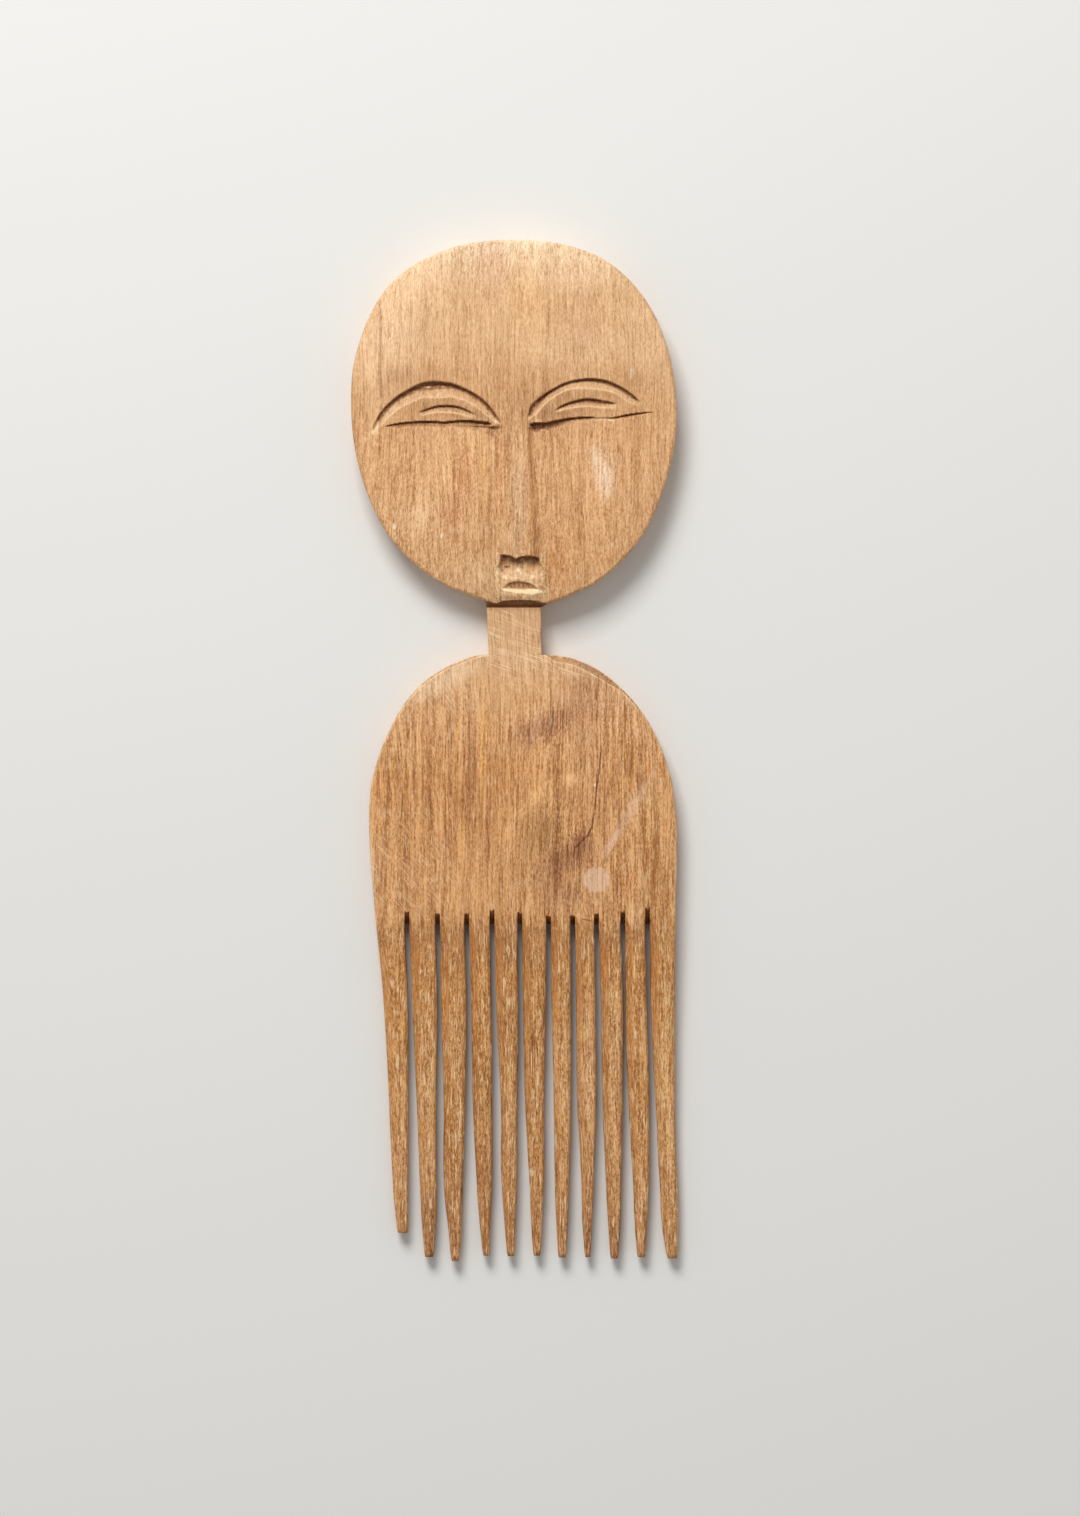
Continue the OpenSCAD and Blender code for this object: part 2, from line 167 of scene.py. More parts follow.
# Torn and chipped places of the carving: x, y, half width, half length, strength
# The spots at (-5.4, 76.3), (1.1, 44.4) and (1.6, 43.6) are painted highlights, dented like the chipped
# places
CHIP_AND_HIGHLIGHT_SPOTS = [
    (-4.1, 48.6, 0.5, 0.6, 0.9), (-4, 46.5, 0.6, 1.4, 1.1), (-3.9, 44, 0.6, 1.4, 1.1),
    (-4.1, 42.2, 0.5, 1, 1), (-3.9, 39.8, 0.5, 1.6, 0.8), (6.7, 46, 0.55, 1.5, 0.9),
    (6.8, 43, 0.5, 1.8, 0.9), (7.5, 38.6, 0.4, 1.4, 0.9), (-4.9, 53, 0.4, 3, 0.6),
    (-5, 60, 0.35, 3, 0.5), (-4.8, 66, 0.3, 3, 0.4), (1.1, 44.4, 0.6, 0.55, 1.4),
    (1.6, 43.6, 0.4, 0.7, 1.3), (-2.2, 42.6, 1.4, 0.6, 0.9), (4.6, 42.9, 1.6, 0.6, 1),
    (0.8, 42.2, 2.4, 0.3, 0.7), (-3.8, 50.8, 0.35, 1.4, 0.6), (5.3, 43.8, 0.5, 0.5, 0.9),
    (2.4, 37.9, 0.35, 0.6, 1.1), (-0.9, 38.1, 0.3, 0.4, 0.8), (-4.4, 80.5, 0.6, 0.45, 1.1),
    (-4.3, 81.5, 0.4, 0.8, 0.6), (-5.4, 76.3, 0.25, 0.45, 1.3), (-5, 74.2, 0.3, 0.9, 0.8),
    (-8.3, 78.9, 0.5, 0.25, 0.9), (4.1, 78.9, 0.35, 0.35, 1.1), (7.8, 79.2, 0.4, 0.25, 1.2),
    (4.8, 83.9, 0.4, 0.35, 1.3), (5.4, 84.7, 0.35, 0.4, 1.3), (5.2, 80.7, 0.9, 0.22, 0.6),
    (3.9, 81.2, 0.3, 0.5, 0.8), (21.5, 85.4, 0.5, 0.22, 1.1), (6.9, 78.3, 0.35, 0.22, 1.1),
    (-15.4, 79.9, 0.5, 0.2, 0.8), (-9.5, 79.9, 0.7, 0.2, 0.6), (9.5, 79.5, 0.4, 0.2, 0.7),
    (22.5, 80.8, 1.5, 0.3, 1.2), (20.2, 81.4, 0.7, 0.22, 0.9), (24.6, 84.2, 0.22, 0.7, 1),
    (10.6, 83.5, 0.6, 0.25, 0.8), (-23.9, 87.8, 0.7, 0.25, 1.1), (-21.2, 88.9, 0.9, 0.22, 1.2),
    (-17.8, 89, 0.8, 0.2, 1), (-26.1, 86.6, 0.4, 0.3, 0.8), (-33.4, 79.4, 0.4, 1.2, 0.9),
    (-34.5, 78.3, 0.4, 0.8, 0.9), (-35.4, 77.2, 0.35, 0.7, 0.8), (-36.2, 76.2, 0.35, 0.7, 0.6),
    (-37, 75.2, 0.35, 0.7, 0.45), (-37.9, 74.1, 0.3, 0.7, 0.3), (-32.6, 80.6, 0.3, 1, 0.6),
    (5.6, 75, 0.25, 0.8, 0.6), (5.9, 66.5, 0.3, 1.2, 0.6), (7.6, 63.8, 0.25, 0.5, 0.8),
    (5.8, 57, 0.3, 2.5, 0.5),
]
# Darker spots in and beside the cuts
DARK_SPOTS = [
    (-1.8, 45.1, 0.7, 0.25, 1.3), (-3, 44.2, 0.28, 0.28, 1.3), (4.7, 45.8, 0.9, 0.7, 0.8),
    (1.3, 37.45, 4.6, 0.42, 0.5), (-5.2, 78.9, 1.2, 0.6, 0.85), (-5.3, 77.4, 0.45, 1, 0.8),
    (-3.7, 79.5, 0.5, 0.22, 0.5), (4.3, 83.2, 0.6, 1.2, 0.8), (3.8, 82, 0.5, 0.5, 0.9),
    (5.9, 81.5, 0.6, 0.5, 0.6), (5.2, 78.2, 1, 0.4, 0.8), (8.4, 78.4, 0.6, 0.25, 0.5),
    (6.3, 86.2, 1.6, 0.6, 0.35), (-8.5, 78.8, 2.6, 0.5, 0.4), (4.2, 79.8, 1, 1, 0.4),
    (4.7, 78.6, 0.9, 0.5, 0.9), (6.2, 78.9, 1, 0.35, 0.7), (-6.2, 78.1, 0.6, 0.6, 0.5),
    (-4.6, 78.2, 0.5, 0.4, 0.5), (9.6, 79.3, 1.2, 0.3, 0.6), (-17.3, 79.75, 2.2, 0.26, 0.5),
    (-20.4, 79.9, 1.4, 0.26, 0.42), (-14.9, 79.8, 1.2, 0.28, 0.4), (-26, 79.5, 2, 0.2, 0.25),
    (12.6, 80, 2.2, 0.34, 0.3), (26.5, 81.6, 2, 0.2, 0.25), (4.4, 84.6, 0.4, 0.3, 0.6),
    (5, 85.4, 0.3, 0.25, 0.6),
]
# Crumbled walls of the hollow under the nose, and the rough foot of the nose
CRUMBLED = [
    (-3.9, 44.5, 0.85, 4.5, 1), (-4, 39, 0.6, 3, 0.8), (6.8, 43, 0.7, 6, 0.9), (-5, 62, 0.3, 14, 0.5),
]
# Eyelids, darker than the slopes round them
LIDS = [
    (-19, 84, 12, 3.6, 0.2), (-8.5, 82.5, 3.4, 2.2, 0.32), (16.5, 84.5, 11, 3.2, 0.25),
    (7.5, 83, 4, 3, 0.32), (-14, 82.3, 4, 1.5, 0.32), (12.5, 86.8, 3, 1.6, 0.34),
    (22, 87.3, 3, 1.3, 0.3), (-6, 81.8, 1.6, 1.3, 0.34), (4.5, 82, 1.5, 1.6, 0.36),
    (12, 82.6, 3.4, 1.4, 0.34),
]
# Side view of the carving from the nose to the chin: y, z
NOSE_TO_CHIN = [
    (35, 8.9), (36.8, 8.95), (37.6, 9.1), (38.3, 9.35), (38.7, 9.4), (41.4, 9.45), (42, 9.5), (43, 9.2),
    (44.5, 8.85), (46.3, 8.65), (48, 8.7),
]
# Hollow below the nose: its left and right side, how steep its walls are, and the sides of its shade
RECESS_SIDES = (-3.15, 6.05)
RECESS_STEEP = 1.5
SHADE_SIDES = (-2.95, 5.95)
# Low ridge from the nose down to the lips: x of its middle, half its width, and its height
LIP_RIDGE = (1.3, 0.5, 0.22)
# Mouth, written as the grooves are, and its floor as a share of the gentle wall
MOUTH = [
    (-3.1, 39.75, 0.2, 0.3, 0), (-2.4, 40.2, 0.25, 0.6, 0.3), (-1.33, 41.1, 0.35, 1.2, 0.7),
    (0.4, 41.55, 0.45, 1.6, 0.75), (1.5, 41.55, 0.45, 1.6, 0.75), (3.4, 41.2, 0.4, 1.3, 0.8),
    (4.4, 40.8, 0.35, 1, 0.6), (5.3, 40.2, 0.3, 0.6, 0.4), (6.4, 39.4, 0.2, 0.3, 0),
]
MOUTH_FLOOR = 0.75
# Painted highlight on the lower lip under the mouth: x, y, half its height
LOWER_LIP = [
    (-3.4, 39.75, 0), (-2.5, 39.5, 0.2), (0, 39.15, 0.42), (2.2, 38.95, 0.4), (4.2, 38.9, 0.6),
    (5.8, 39, 0.5), (6.6, 39, 0.3), (7.1, 38.9, 0),
]
# Front edge of the chin's underside, left to right: x, y
CHIN_EDGE = [
    (-7, 36.85), (-4.3, 36.15), (-2.8, 36.85), (0, 37.05), (4, 37), (5.4, 36.8), (8.2, 36.05), (9, 36),
]

# Saw kerfs, left to right: middle across the roots, and y of the upper end in the front
KERF_SHARES = [0.106, 0.208, 0.305, 0.39, 0.482, 0.578, 0.659, 0.738, 0.826, 0.908]
KERF_TOPS = [-39.2, -39.7, -39.7, -38.8, -39.4, -40.2, -40.2, -39.8, -39.3, -38.3]
KERF_WIDE = 1.2
KERF_BACK = 0.5
KERF_TORN = 0.3
CUT_OVER = 2

# Teeth, left to right: x of the tip, width of the tip, then widths and drifts off the
# straight line at the stations below
TOOTH_STATIONS = [0.25, 0.52, 0.76, 0.89]
TEETH = [
    (-27.3, 2.6, (5.9, 4.9, 4.1, 3.5), (0.5, 0.3, 0, -0.1)),
    (-20.8, 2.2, (6.1, 4.9, 4.2, 3.6), (0.2, 0.1, 0.1, 0.1)),
    (-14.4, 1.9, (6.3, 5.4, 4.8, 3.4), (0.2, 0.1, -0.3, -0.1)),
    (-6.8, 1.8, (4.9, 4.8, 3.9, 2.7), (0, -0.2, -0.1, -0.2)),
    (-0.8, 1.8, (5.4, 4.1, 3.9, 2.8), (0, 0.1, -0.1, -0.1)),
    (5.6, 1.8, (5.6, 4.7, 3.7, 2.8), (-0.1, -0.3, 0.1, 0)),
    (11.8, 2, (4.7, 4.2, 3.6, 2.9), (0.1, 0.2, 0.1, 0)),
    (18.1, 1.5, (4.8, 4.7, 3.1, 2.4), (0.1, 0.1, 0.1, -0.1)),
    (24.6, 1.9, (5.3, 4.9, 3.9, 3.2), (0.3, 0.1, 0.1, 0.1)),
    (31.2, 2, (5.3, 5.1, 4.1, 3.2), (-0.1, 0.1, 0.3, 0.1)),
    (38.8, 2.5, (5.9, 4.8, 4.4, 4.1), (-0.5, -0.6, -0.4, -0.3)),
]
TIP_HIGH = 2.8
TIP_RISE = 1.3
THIN_POWER = 2.5
# Width and depth of the whittled facets where a tooth starts, and the widths at the two outer edges
LEFT_FACET = (1.2, 0.85)
RIGHT_FACET = (0.35, 0.42)
OUTER_FACETS = (0.35, 0.4)
FACET_START = 2.4
# Further along a tooth: widths of the left and the right facet and of the back's eased corners, as
# shares of its width
FACET_SHARES = (0.36, 0.13)
BACK_SHARE = 0.22
# Where a tooth starts to round off to its tip, as a share of its length, and how much it shrinks there
BLUNT_START = 0.985
BLUNT_SHARE = 0.16

# Points of a mesh: distances from an edge, and shares of the way down a wall
EDGE_STEPS = np.array([0, 0.07, 0.18, 0.34, 0.55, 0.8, 1.1, 1.35, 1.6, 1.85])
WALL_SHARES = np.array([0.06, 0.2, 0.4, 0.6, 0.8, 0.94])
# Rows of points across the head lie closest from the chin up to the nose's end, over the eyes, and
# in the last stretch below the top of the crown
NOSE_END = 49.3
EYES_LOW = 75.3
EYES_TOP = 91.7
CROWN_STRETCH = 7
# Share of a groove's dark band over which its wall falls
WALL_STEEP = 0.6
# Angles from which an edge is shaded as a sharp one
PLATE_SHARP = 28
CARVED_SHARP = 50


def smooth_step(value, low, high):
    t = np.clip((value - low) / (high - low), 0, 1)
    return t * t * (3 - 2 * t)


def follow(points, at, column=1):
    """Value of one column of listed points at each place along their first column."""
    table = np.array(points, float)
    return np.interp(at, table[:, 0], table[:, column])


def curve_through(points, steps=8):
    """Rows of a smooth curve through given points, with all that they carry."""
    points = np.array(points, float)
    ends = np.vstack([2 * points[0] - points[1], points, 2 * points[-1] - points[-2]])
    t = np.linspace(0, 1, steps, endpoint=False)[:, None]
    spans = [
        0.5 * (2 * b + (c - a) * t + (2 * a - 5 * b + 4 * c - d) * t**2 + (3 * b - a - 3 * c + d) * t**3)
        for a, b, c, d in zip(ends, ends[1:], ends[2:], ends[3:])
    ]
    return np.vstack(spans + [points[-1:]])


def smooth_noise(x, y, seed):
    """Smooth noise between -1 and 1, with cells one unit wide."""
    table = np.random.default_rng(seed).uniform(-1, 1, (256, 256))
    column = np.floor(x).astype(int)
    row = np.floor(y).astype(int)
    u = smooth_step(x - column, 0, 1)
    v = smooth_step(y - row, 0, 1)

    def knot(right, up):
        return table[(column + right) % 256, (row + up) % 256]

    low = knot(0, 0) * (1 - u) + knot(1, 0) * u
    high = knot(0, 1) * (1 - u) + knot(1, 1) * u
    return low * (1 - v) + high * v


def nearest(line, x, y):
    """Distance of each place from a line, positive on the line's left, and its station on it."""
    best = np.full(x.shape, np.inf)
    side = np.ones(x.shape)
    station = np.zeros(x.shape)
    for k, (a, b) in enumerate(zip(line, line[1:])):
        run, rise = b[0] - a[0], b[1] - a[1]
        along = np.clip(((x - a[0]) * run + (y - a[1]) * rise) / (run**2 + rise**2), 0, 1)
        gap = np.hypot(x - a[0] - along * run, y - a[1] - along * rise)
        closer = gap < best
        best = np.where(closer, gap, best)
        side = np.where(closer, np.sign(run * (y - a[1]) - rise * (x - a[0])), side)
        station = np.where(closer, k + along, station)
    return best * side, station


def groove(x, y, sections, floor=0, torn=0, seed=0):
    """Depth of a knife groove whose dark wall hangs under a line and whose pale slope rises away
    from it, with how much each place is on the dark wall, the slope and its crisp far edge."""
    line = curve_through(sections)
    reach = line[:, 2].max() + line[:, 3].max() + 1
    low, high = line[:, :2].min(axis=0) - reach, line[:, :2].max(axis=0) + reach
    near = (x > low[0]) & (x < high[0]) & (y > low[1]) & (y < high[1])
    side, station = nearest(line, x[near], y[near])
    inward = -side
    stations = np.arange(len(line))
    dark, gentle, deep = (np.interp(station, stations, line[:, k]) for k in (2, 3, 4))
    if torn:
        dark = dark * (1 + torn * smooth_noise(x[near] / 0.55, y[near] / 0.55, seed))
        deep = deep * (1 + 0.6 * torn * smooth_noise(x[near] / 0.4, y[near] / 0.9, seed + 1))
    steep = WALL_STEEP * dark
    fall = inward / np.maximum(steep, 0.05)
    rise = 1 - (inward - steep - floor * gentle) / np.maximum((1 - floor) * gentle + dark - steep, 0.05)
    shade = inward / np.maximum(dark, 0.05)
    cut = np.clip(deep / 0.5, 0, 1)
    wall = smooth_step(shade, 0, 0.2) * (1 - 0.25 * smooth_step(shade, 0.6, 1))
    found = [
        deep * np.clip(np.minimum(fall, rise), 0, 1),
        cut * wall * smooth_step(-shade, -1.35, -1),
        cut * smooth_step(shade, 0.9, 1.5) * smooth_step(rise, -0.1, 0.15),
        cut * np.exp(-(((inward - dark - gentle + 0.15) / 0.22) ** 2)),
    ]
    results = np.zeros((len(found), *x.shape))
    results[:, near] = found
    return results


def grooves(x, y, cuts, torn, seed):
    """The deepest, and the most marked, of several grooves."""
    return np.max([groove(x, y, cut, torn=torn, seed=seed + k) for k, cut in enumerate(cuts)], axis=0)


def head_mid(y):
    t = np.clip((WIDE_Y - y) / (WIDE_Y - CHIN_Y), 0, None)
    return CHIN_SHIFT * t * t


def from_widest(y):
    """Squareness of the outline, and the share of the way from the widest line to its end."""
    low = y < WIDE_Y
    far = np.where(low, WIDE_Y - CHIN_Y, CROWN_Y - WIDE_Y)
    return np.where(low, JAW_POWER, CROWN_POWER), np.abs(y - WIDE_Y) / far


def head_half(y):
    power, v = from_widest(y)
    return HEAD_HALF * (1 - np.clip(v, 0, 1) ** power) ** (1 / power)


def head_edges(y):
    """Left and right edge of the head at each height."""
    edges = []
    for side, column in ((-1, 1), (1, 2)):
        arc = head_mid(y) + side * head_half(y) + follow(HEAD_STRAYS, y, column)
        edges.append(np.where(y < JAW_LINES[-1][0], follow(JAW_LINES, y, column), arc))
    return edges


def crowned_face(x, y):
    """Height of the face before carving."""
    power, v = from_widest(y)
    u = np.abs(x - head_mid(y)) / HEAD_HALF
    share = np.clip((u**power + v**power) ** (1 / power), 0, 1)
    return RIM_HIGH + (FACE_HIGH - RIM_HIGH) * (1 - share**4)


def rounding(rim, radius):
    """How far a rounded edge falls at a distance from the rim."""
    t = 1 - np.clip(rim / radius, 0, 1)
    return radius * (1 - np.sqrt(1 - t * t))


def cheek_fall(x, y):
    """How far the cheeks are cut down beside the nose."""
    left_foot, left_top, right_top, right_foot = (follow(NOSE_FLANKS, y, k) for k in (1, 2, 3, 4))
    left = smooth_step(-x, -left_top, -left_foot) * (x < 0)
    right = smooth_step(x, right_top, right_foot) * (x >= 0)
    beyond = np.where(x < 0, left_foot - x, x - right_foot)
    fade = np.clip(1 - beyond / CHEEK_REACH, 0, 1) ** 1.4
    floor = follow(SLIT_FLOORS, x)
    return CHEEK_DROP * (left + right) * fade * smooth_step(-y, -floor - 0.25, -floor + 0.25)


def nose_edge(x):
    """Height of the edge under the nose."""
    return follow(curve_through(NOSE_EDGE), x)


def recess(x, y):
    """Height of the hollow below the nose, with the lips in it."""
    left, right = RECESS_SIDES
    edge = nose_edge(x)
    wobble = 0.12 * smooth_noise(x / 0.8, y / 0.5, 31)
    aside = np.maximum(np.maximum(left + wobble - x, x - right - wobble), 0)
    above = np.maximum(y - edge + NOSE_WALL_RUN, 0)
    ridge_x, ridge_half, ridge_high = LIP_RIDGE
    ridge = smooth_step(y, 42, 43.5) * smooth_step(-y, -47, -45.5)
    ridge *= ridge_high * np.exp(-(((x - ridge_x) / ridge_half) ** 2))
    floor = follow(NOSE_TO_CHIN, y) + ridge - groove(x, y, MOUTH, MOUTH_FLOOR, 0.25, 33)[0]
    corners = 0.25 * (np.abs(x - 1.45) / 4.8) ** 2
    steep = RECESS_STEEP + 5 * smooth_step(y, 45.2, 46.4)
    return floor - corners + aside * steep + above * NOSE_WALL_RISE / NOSE_WALL_RUN


def under_chin(x, y, z):
    """Height of the chin's underside, which falls from the front's edge to the neck, and how much
    each place is on it."""
    below = follow(CHIN_EDGE, x) - y
    share = np.clip((y - CHIN_Y) / (follow(CHIN_EDGE, x) - CHIN_Y), 0, 1)
    return np.where(below > 0, NECK_HIGH + (z - NECK_HIGH) * share, z), smooth_step(below, -0.1, 0.15)


def spots(x, y, places):
    """Strongest of several soft round spots, each x, y, half width, half length and strength."""
    return np.max([
        strong * np.exp(-(((x - at_x) / wide) ** 2) - ((y - at_y) / long) ** 2)
        for at_x, at_y, wide, long, strong in places
    ], axis=0)


def nose_shade(x, y, stipple):
    """How dark the hollow is close under the nose."""
    left, right = SHADE_SIDES
    below = y - nose_edge(x)
    reach = NOSE_SHADE - 0.7 * smooth_step(-x, -0.5, 2.5)
    shade = 0.72 + 0.25 * smooth_step(below, -1, -0.3) + 0.12 * smooth_noise(x / 0.6, y / 0.5, 45)
    between = smooth_step(x, left - 0.25, left + 0.1) * smooth_step(-x, -right - 0.25, -right + 0.1)
    return smooth_step((below + 0.5 * stipple) / reach, -1, -0.27) * shade * between


def face(x, y, rim, side):
    """Height of the carved face, how dirty it is with painted shade, how torn with painted highlights."""
    brows = np.maximum(grooves(x, y, BROWS[:1], 0.12, 11), grooves(x, y, BROWS[1:], 0.05, 13))
    creases = grooves(x, y, CREASES, 0.08, 15)
    slits = grooves(x, y, SLITS, 0.16, 17)
    z = crowned_face(x, y) - cheek_fall(x, y) - np.max([brows[0], creases[0], slits[0]], axis=0)
    hollow = recess(x, y)
    inside = smooth_step(z - hollow, 0, 0.4)
    z = np.minimum(z, hollow)
    z, beneath = under_chin(x, y, z)
    chips_and_highlights = spots(x, y, CHIP_AND_HIGHLIGHT_SPOTS) * np.clip(0.55 + 0.9 * smooth_noise(x / 0.35, y / 0.7, 35), 0, 1)
    z = z - 0.12 * chips_and_highlights * (0.5 + smooth_noise(x / 0.3, y / 0.5, 37))
    crumbs = smooth_noise(x / 0.3, y / 0.34, 55)
    crumbled = spots(x, y, CRUMBLED)
    z = z - 0.1 * crumbled * np.clip(crumbs, 0, 1)

    mouth = groove(x, y, MOUTH, MOUTH_FLOOR)
    stipple = smooth_noise(x / 0.35, y / 0.4, 39)
    broken = 0.93 + 0.15 * smooth_noise(x / 0.6, y / 0.35, 41)
    slopes = np.maximum(brows[2], creases[2])
    mouth_dirt_and_shade = 0.62 * smooth_step(mouth[0], 0.1, 0.45) * (0.9 + 0.3 * stipple) * (1 - 0.3 * mouth[1])
    # Painted shade on the grooves' walls and below them, in the hollow, on the mouth's floor and under the
    # chin
    dirt = np.max([
        brows[1] * broken, creases[1], (1.1 - 0.13 * slits[0]) * slits[1],
        np.minimum(0.2 + 0.65 * slits[0], 0.85) * slits[2] * (1 + 0.25 * stipple),
        0.75 * creases[0] * creases[2], 0.3 * brows[0] * brows[2],
        spots(x, y, LIDS) * (1 - slopes), inside * nose_shade(x, y, stipple), 0.04 * inside, mouth_dirt_and_shade,
        beneath * (0.88 + 0.12 * smooth_step(-y, -36.2, -35.6)),
        spots(x, y, DARK_SPOTS) * (0.85 + 0.4 * stipple),
        0.5 * crumbled * np.clip(2.4 * crumbs - 0.7, 0, 1),
    ], axis=0)
    lip = lower_lip(x, y)
    # Pale cut wood on the slopes and chipped places, painted highlights on the slopes, their far edges and
    # both lips
    pale = np.max([
        0.13 * slopes, 0.4 * brows[3], 0.35 * creases[3], chips_and_highlights, 1.15 * lip,
        inside * smooth_step(-y, -45.5, -42.5) * (0.22 + 0.25 * stipple),
        0.85 * crumbled * np.clip(-2.4 * crumbs - 0.3, 0, 1),
    ], axis=0)
    dirt = np.clip(dirt, 0, 1) * (1 - 0.85 * np.maximum(chips_and_highlights, lip))
    return z - rounding(rim, RIM_ROUND), dirt, pale * (1 - smooth_step(dirt, 0.1, 0.5))


def lower_lip(x, y):
    """How much each place is on the painted highlight under the mouth."""
    middle, half = (follow(curve_through(LOWER_LIP), x, column) for column in (1, 2))
    half = half * (1 + 0.3 * smooth_noise(x / 0.6, y / 0.8, 43))
    return smooth_step(half - np.abs(y - middle), -0.12, 0.15) * (half > 0)


def plain_back(x, y, rim, side):
    """Height of a flat sanded back with an eased rim."""
    return rounding(rim, BACK_ROUND), 0 * x, 0 * x


def neck_front(x, y, rim, side):
    """Height of the neck's front, with the painted shadow that runs on from beneath the chin."""
    up = y - CHIN_Y
    dirt = 0.85 * smooth_step(up, -0.35, -0.05) + 0.2 * smooth_step(up, -1.6, -0.4)
    return NECK_HIGH - rounding(rim, NECK_ROUND), np.clip(dirt, 0, 0.9) * (x < 6.4), 0 * x


def plate_slope(y):
    return ROOT_HIGH + (NECK_HIGH - ROOT_HIGH) * (y - ROOT_Y) / (SHOULDER_Y - ROOT_Y)


def plate_edges(y):
    """Left and right edge of the shoulder plate at each height."""
    return [follow(curve_through(PLATE_LINES), y, column) for column in (1, 2)]


def plate_front(x, y, rim, side):
    """Height of the plate's front with its bevel, painted shade on the bevel and painted edge highlights."""
    width = np.where(side < 0, follow(BEVELS, y, 1), follow(BEVELS, y, 2))
    width = width * (1 + 0.12 * smooth_noise(x / 6, y / 6, 41))
    left, right = PLATE_LINES[-1][1:]
    from_neck = np.hypot(np.where(side < 0, x - left, x - right), y - SHOULDER_Y)
    width = width * smooth_step(from_neck, 0.2, 4)
    bevel = BEVEL_STEEP * np.maximum(width - rim, 0)
    eased = rounding(rim, NECK_ROUND)
    high_up = smooth_step(y, 6, 14)
    # Painted shade on the bevel
    dirt = smooth_step(width - rim, 0, 0.12) * smooth_step(rim, 0.05, 0.3) * (0.34 + 0.04 * (side > 0))
    # Painted highlights along the edge: low on the plate, and beside the bevel higher up
    low_edge_highlight = 0.32 * smooth_step(-rim, -0.7, -0.3) * smooth_step(y, -40, -30)
    low_edge_highlight *= 0.7 + 0.4 * smooth_noise(x / 2, y / 2, 49)
    arris_highlight = 0.45 + 0.35 * smooth_noise(x / 1.2, y / 1.2, 47)
    arris_highlight *= np.exp(-(((rim - width - 0.12) / 0.16) ** 2))
    pale = low_edge_highlight * (1 - high_up) + arris_highlight * high_up
    return plate_slope(y) - np.maximum(bevel, eased), dirt * high_up, pale


def across(left, right, count):
    """x of the points across each row, closer together beside both edges."""
    squeeze = np.minimum(1, (right - left) / 6)[:, None]
    edge = squeeze * EDGE_STEPS
    start = left[:, None] + edge[:, -1:]
    end = right[:, None] - edge[:, -1:]
    inner = start + (end - start) * np.linspace(0, 1, count + 2)[1:-1]
    return np.hstack([left[:, None] + edge, inner, right[:, None] - edge[:, ::-1]])


def edge_distance(x, y, lines):
    """Distance from the nearest outline, and which side of the piece it is on."""
    gaps = np.array([np.abs(nearest(line, x, y)[0]) for line in lines])
    return gaps.min(axis=0), np.where(gaps[0] < gaps[-1], -1, 1)


def board_rings(rows, edges, front, count, back_count, lean=0, closed_top=False):
    """Rings across a flat piece: over its front from left to right, and back underneath. Its walls
    lean in by lean on their way to the back."""
    faces = []
    for surface, points, inset in ((front, count, 0), (plain_back, back_count, lean)):
        left, right = edges(rows)
        left, right = left + inset, right - inset
        lines = [np.stack([left, rows], axis=1), np.stack([right, rows], axis=1)]
        if closed_top:
            lines.insert(1, np.array([lines[0][-1], lines[1][-1]]))
        x = across(left, right, points)
        y = np.repeat(rows[:, None], x.shape[1], axis=1)
        rim, side = edge_distance(x, y, lines)
        faces.append(np.stack([x, y, *surface(x, y, rim, side)], axis=2))
    over, under = faces
    under = under[:, ::-1]
    shares = WALL_SHARES[None, :, None]
    right_wall = over[:, -1:] * (1 - shares) + under[:, :1] * shares
    left_wall = under[:, -1:] * (1 - shares) + over[:, :1] * shares
    return np.concatenate([over, right_wall, under, left_wall], axis=1)


def put(name, data):
    """Object in the scene that holds a mesh, a lamp or a camera."""
    made = bpy.data.objects.new(name, data)
    bpy.context.scene.collection.objects.link(made)
    return made


def skin(name, rings, finish):
    """Closed mesh through rings of points, which are clockwise as seen along +y. After its place,
    each point carries how dirty the wood is with painted shade, and how torn with painted highlights."""
    rows, count, width = rings.shape
    middles = rings[[0, -1]].mean(axis=1)
    carried = np.vstack([rings.reshape(-1, width), middles])
    points = carried[:, :3] * MM
    here = np.arange(rows * count).reshape(rows, count)
    beside = np.roll(here, -1, axis=1)
    quads = np.stack([here[:-1], beside[:-1], beside[1:], here[1:]], axis=2).reshape(-1, 4)
    first, last = rows * count, rows * count + 1
    faces = quads.tolist()
    faces += [(first, b, a) for a, b in zip(here[0].tolist(), beside[0].tolist())]
    faces += [(last, a, b) for a, b in zip(here[-1].tolist(), beside[-1].tolist())]
    mesh = bpy.data.meshes.new(name)
    mesh.from_pydata(points.tolist(), [], faces)
    mesh.shade_smooth()
    for column, mark in ((3, "dirt"), (4, "torn")):
        values = mesh.attributes.new(mark, "FLOAT", "POINT").data
        values.foreach_set("value", carried[:, column].astype(np.float32))
    mesh.materials.append(finish)
    return put(name, mesh)


def stations(*stretches):
    """Heights from several stretches, each a start, an end and a step."""
    heights = []
    for start, end, step in stretches:
        heights.append(np.linspace(start, end, int(round((end - start) / step)), endpoint=False))
    return np.concatenate(heights + [[stretches[-1][1]]])


def make_head(finish):
    straight = stations(
        (CHIN_Y, NOSE_END, 0.2), (NOSE_END, EYES_LOW, 0.7), (EYES_LOW, EYES_TOP, 0.2),
        (EYES_TOP, CROWN_Y - CROWN_STRETCH, 0.9),
    )
    rise = np.linspace(1, 0, 30, endpoint=False)[1:]
    rows = np.concatenate([straight, CROWN_Y - CROWN_STRETCH * rise**2])
    lean = HEAD_LEAN * smooth_step(rows, 37, 44) * smooth_step(-rows, -CROWN_Y, -CROWN_Y + 6)
    rings = board_rings(rows, head_edges, face, count=310, back_count=24, lean=lean, closed_top=True)
    return skin("carved_head", rings, finish)


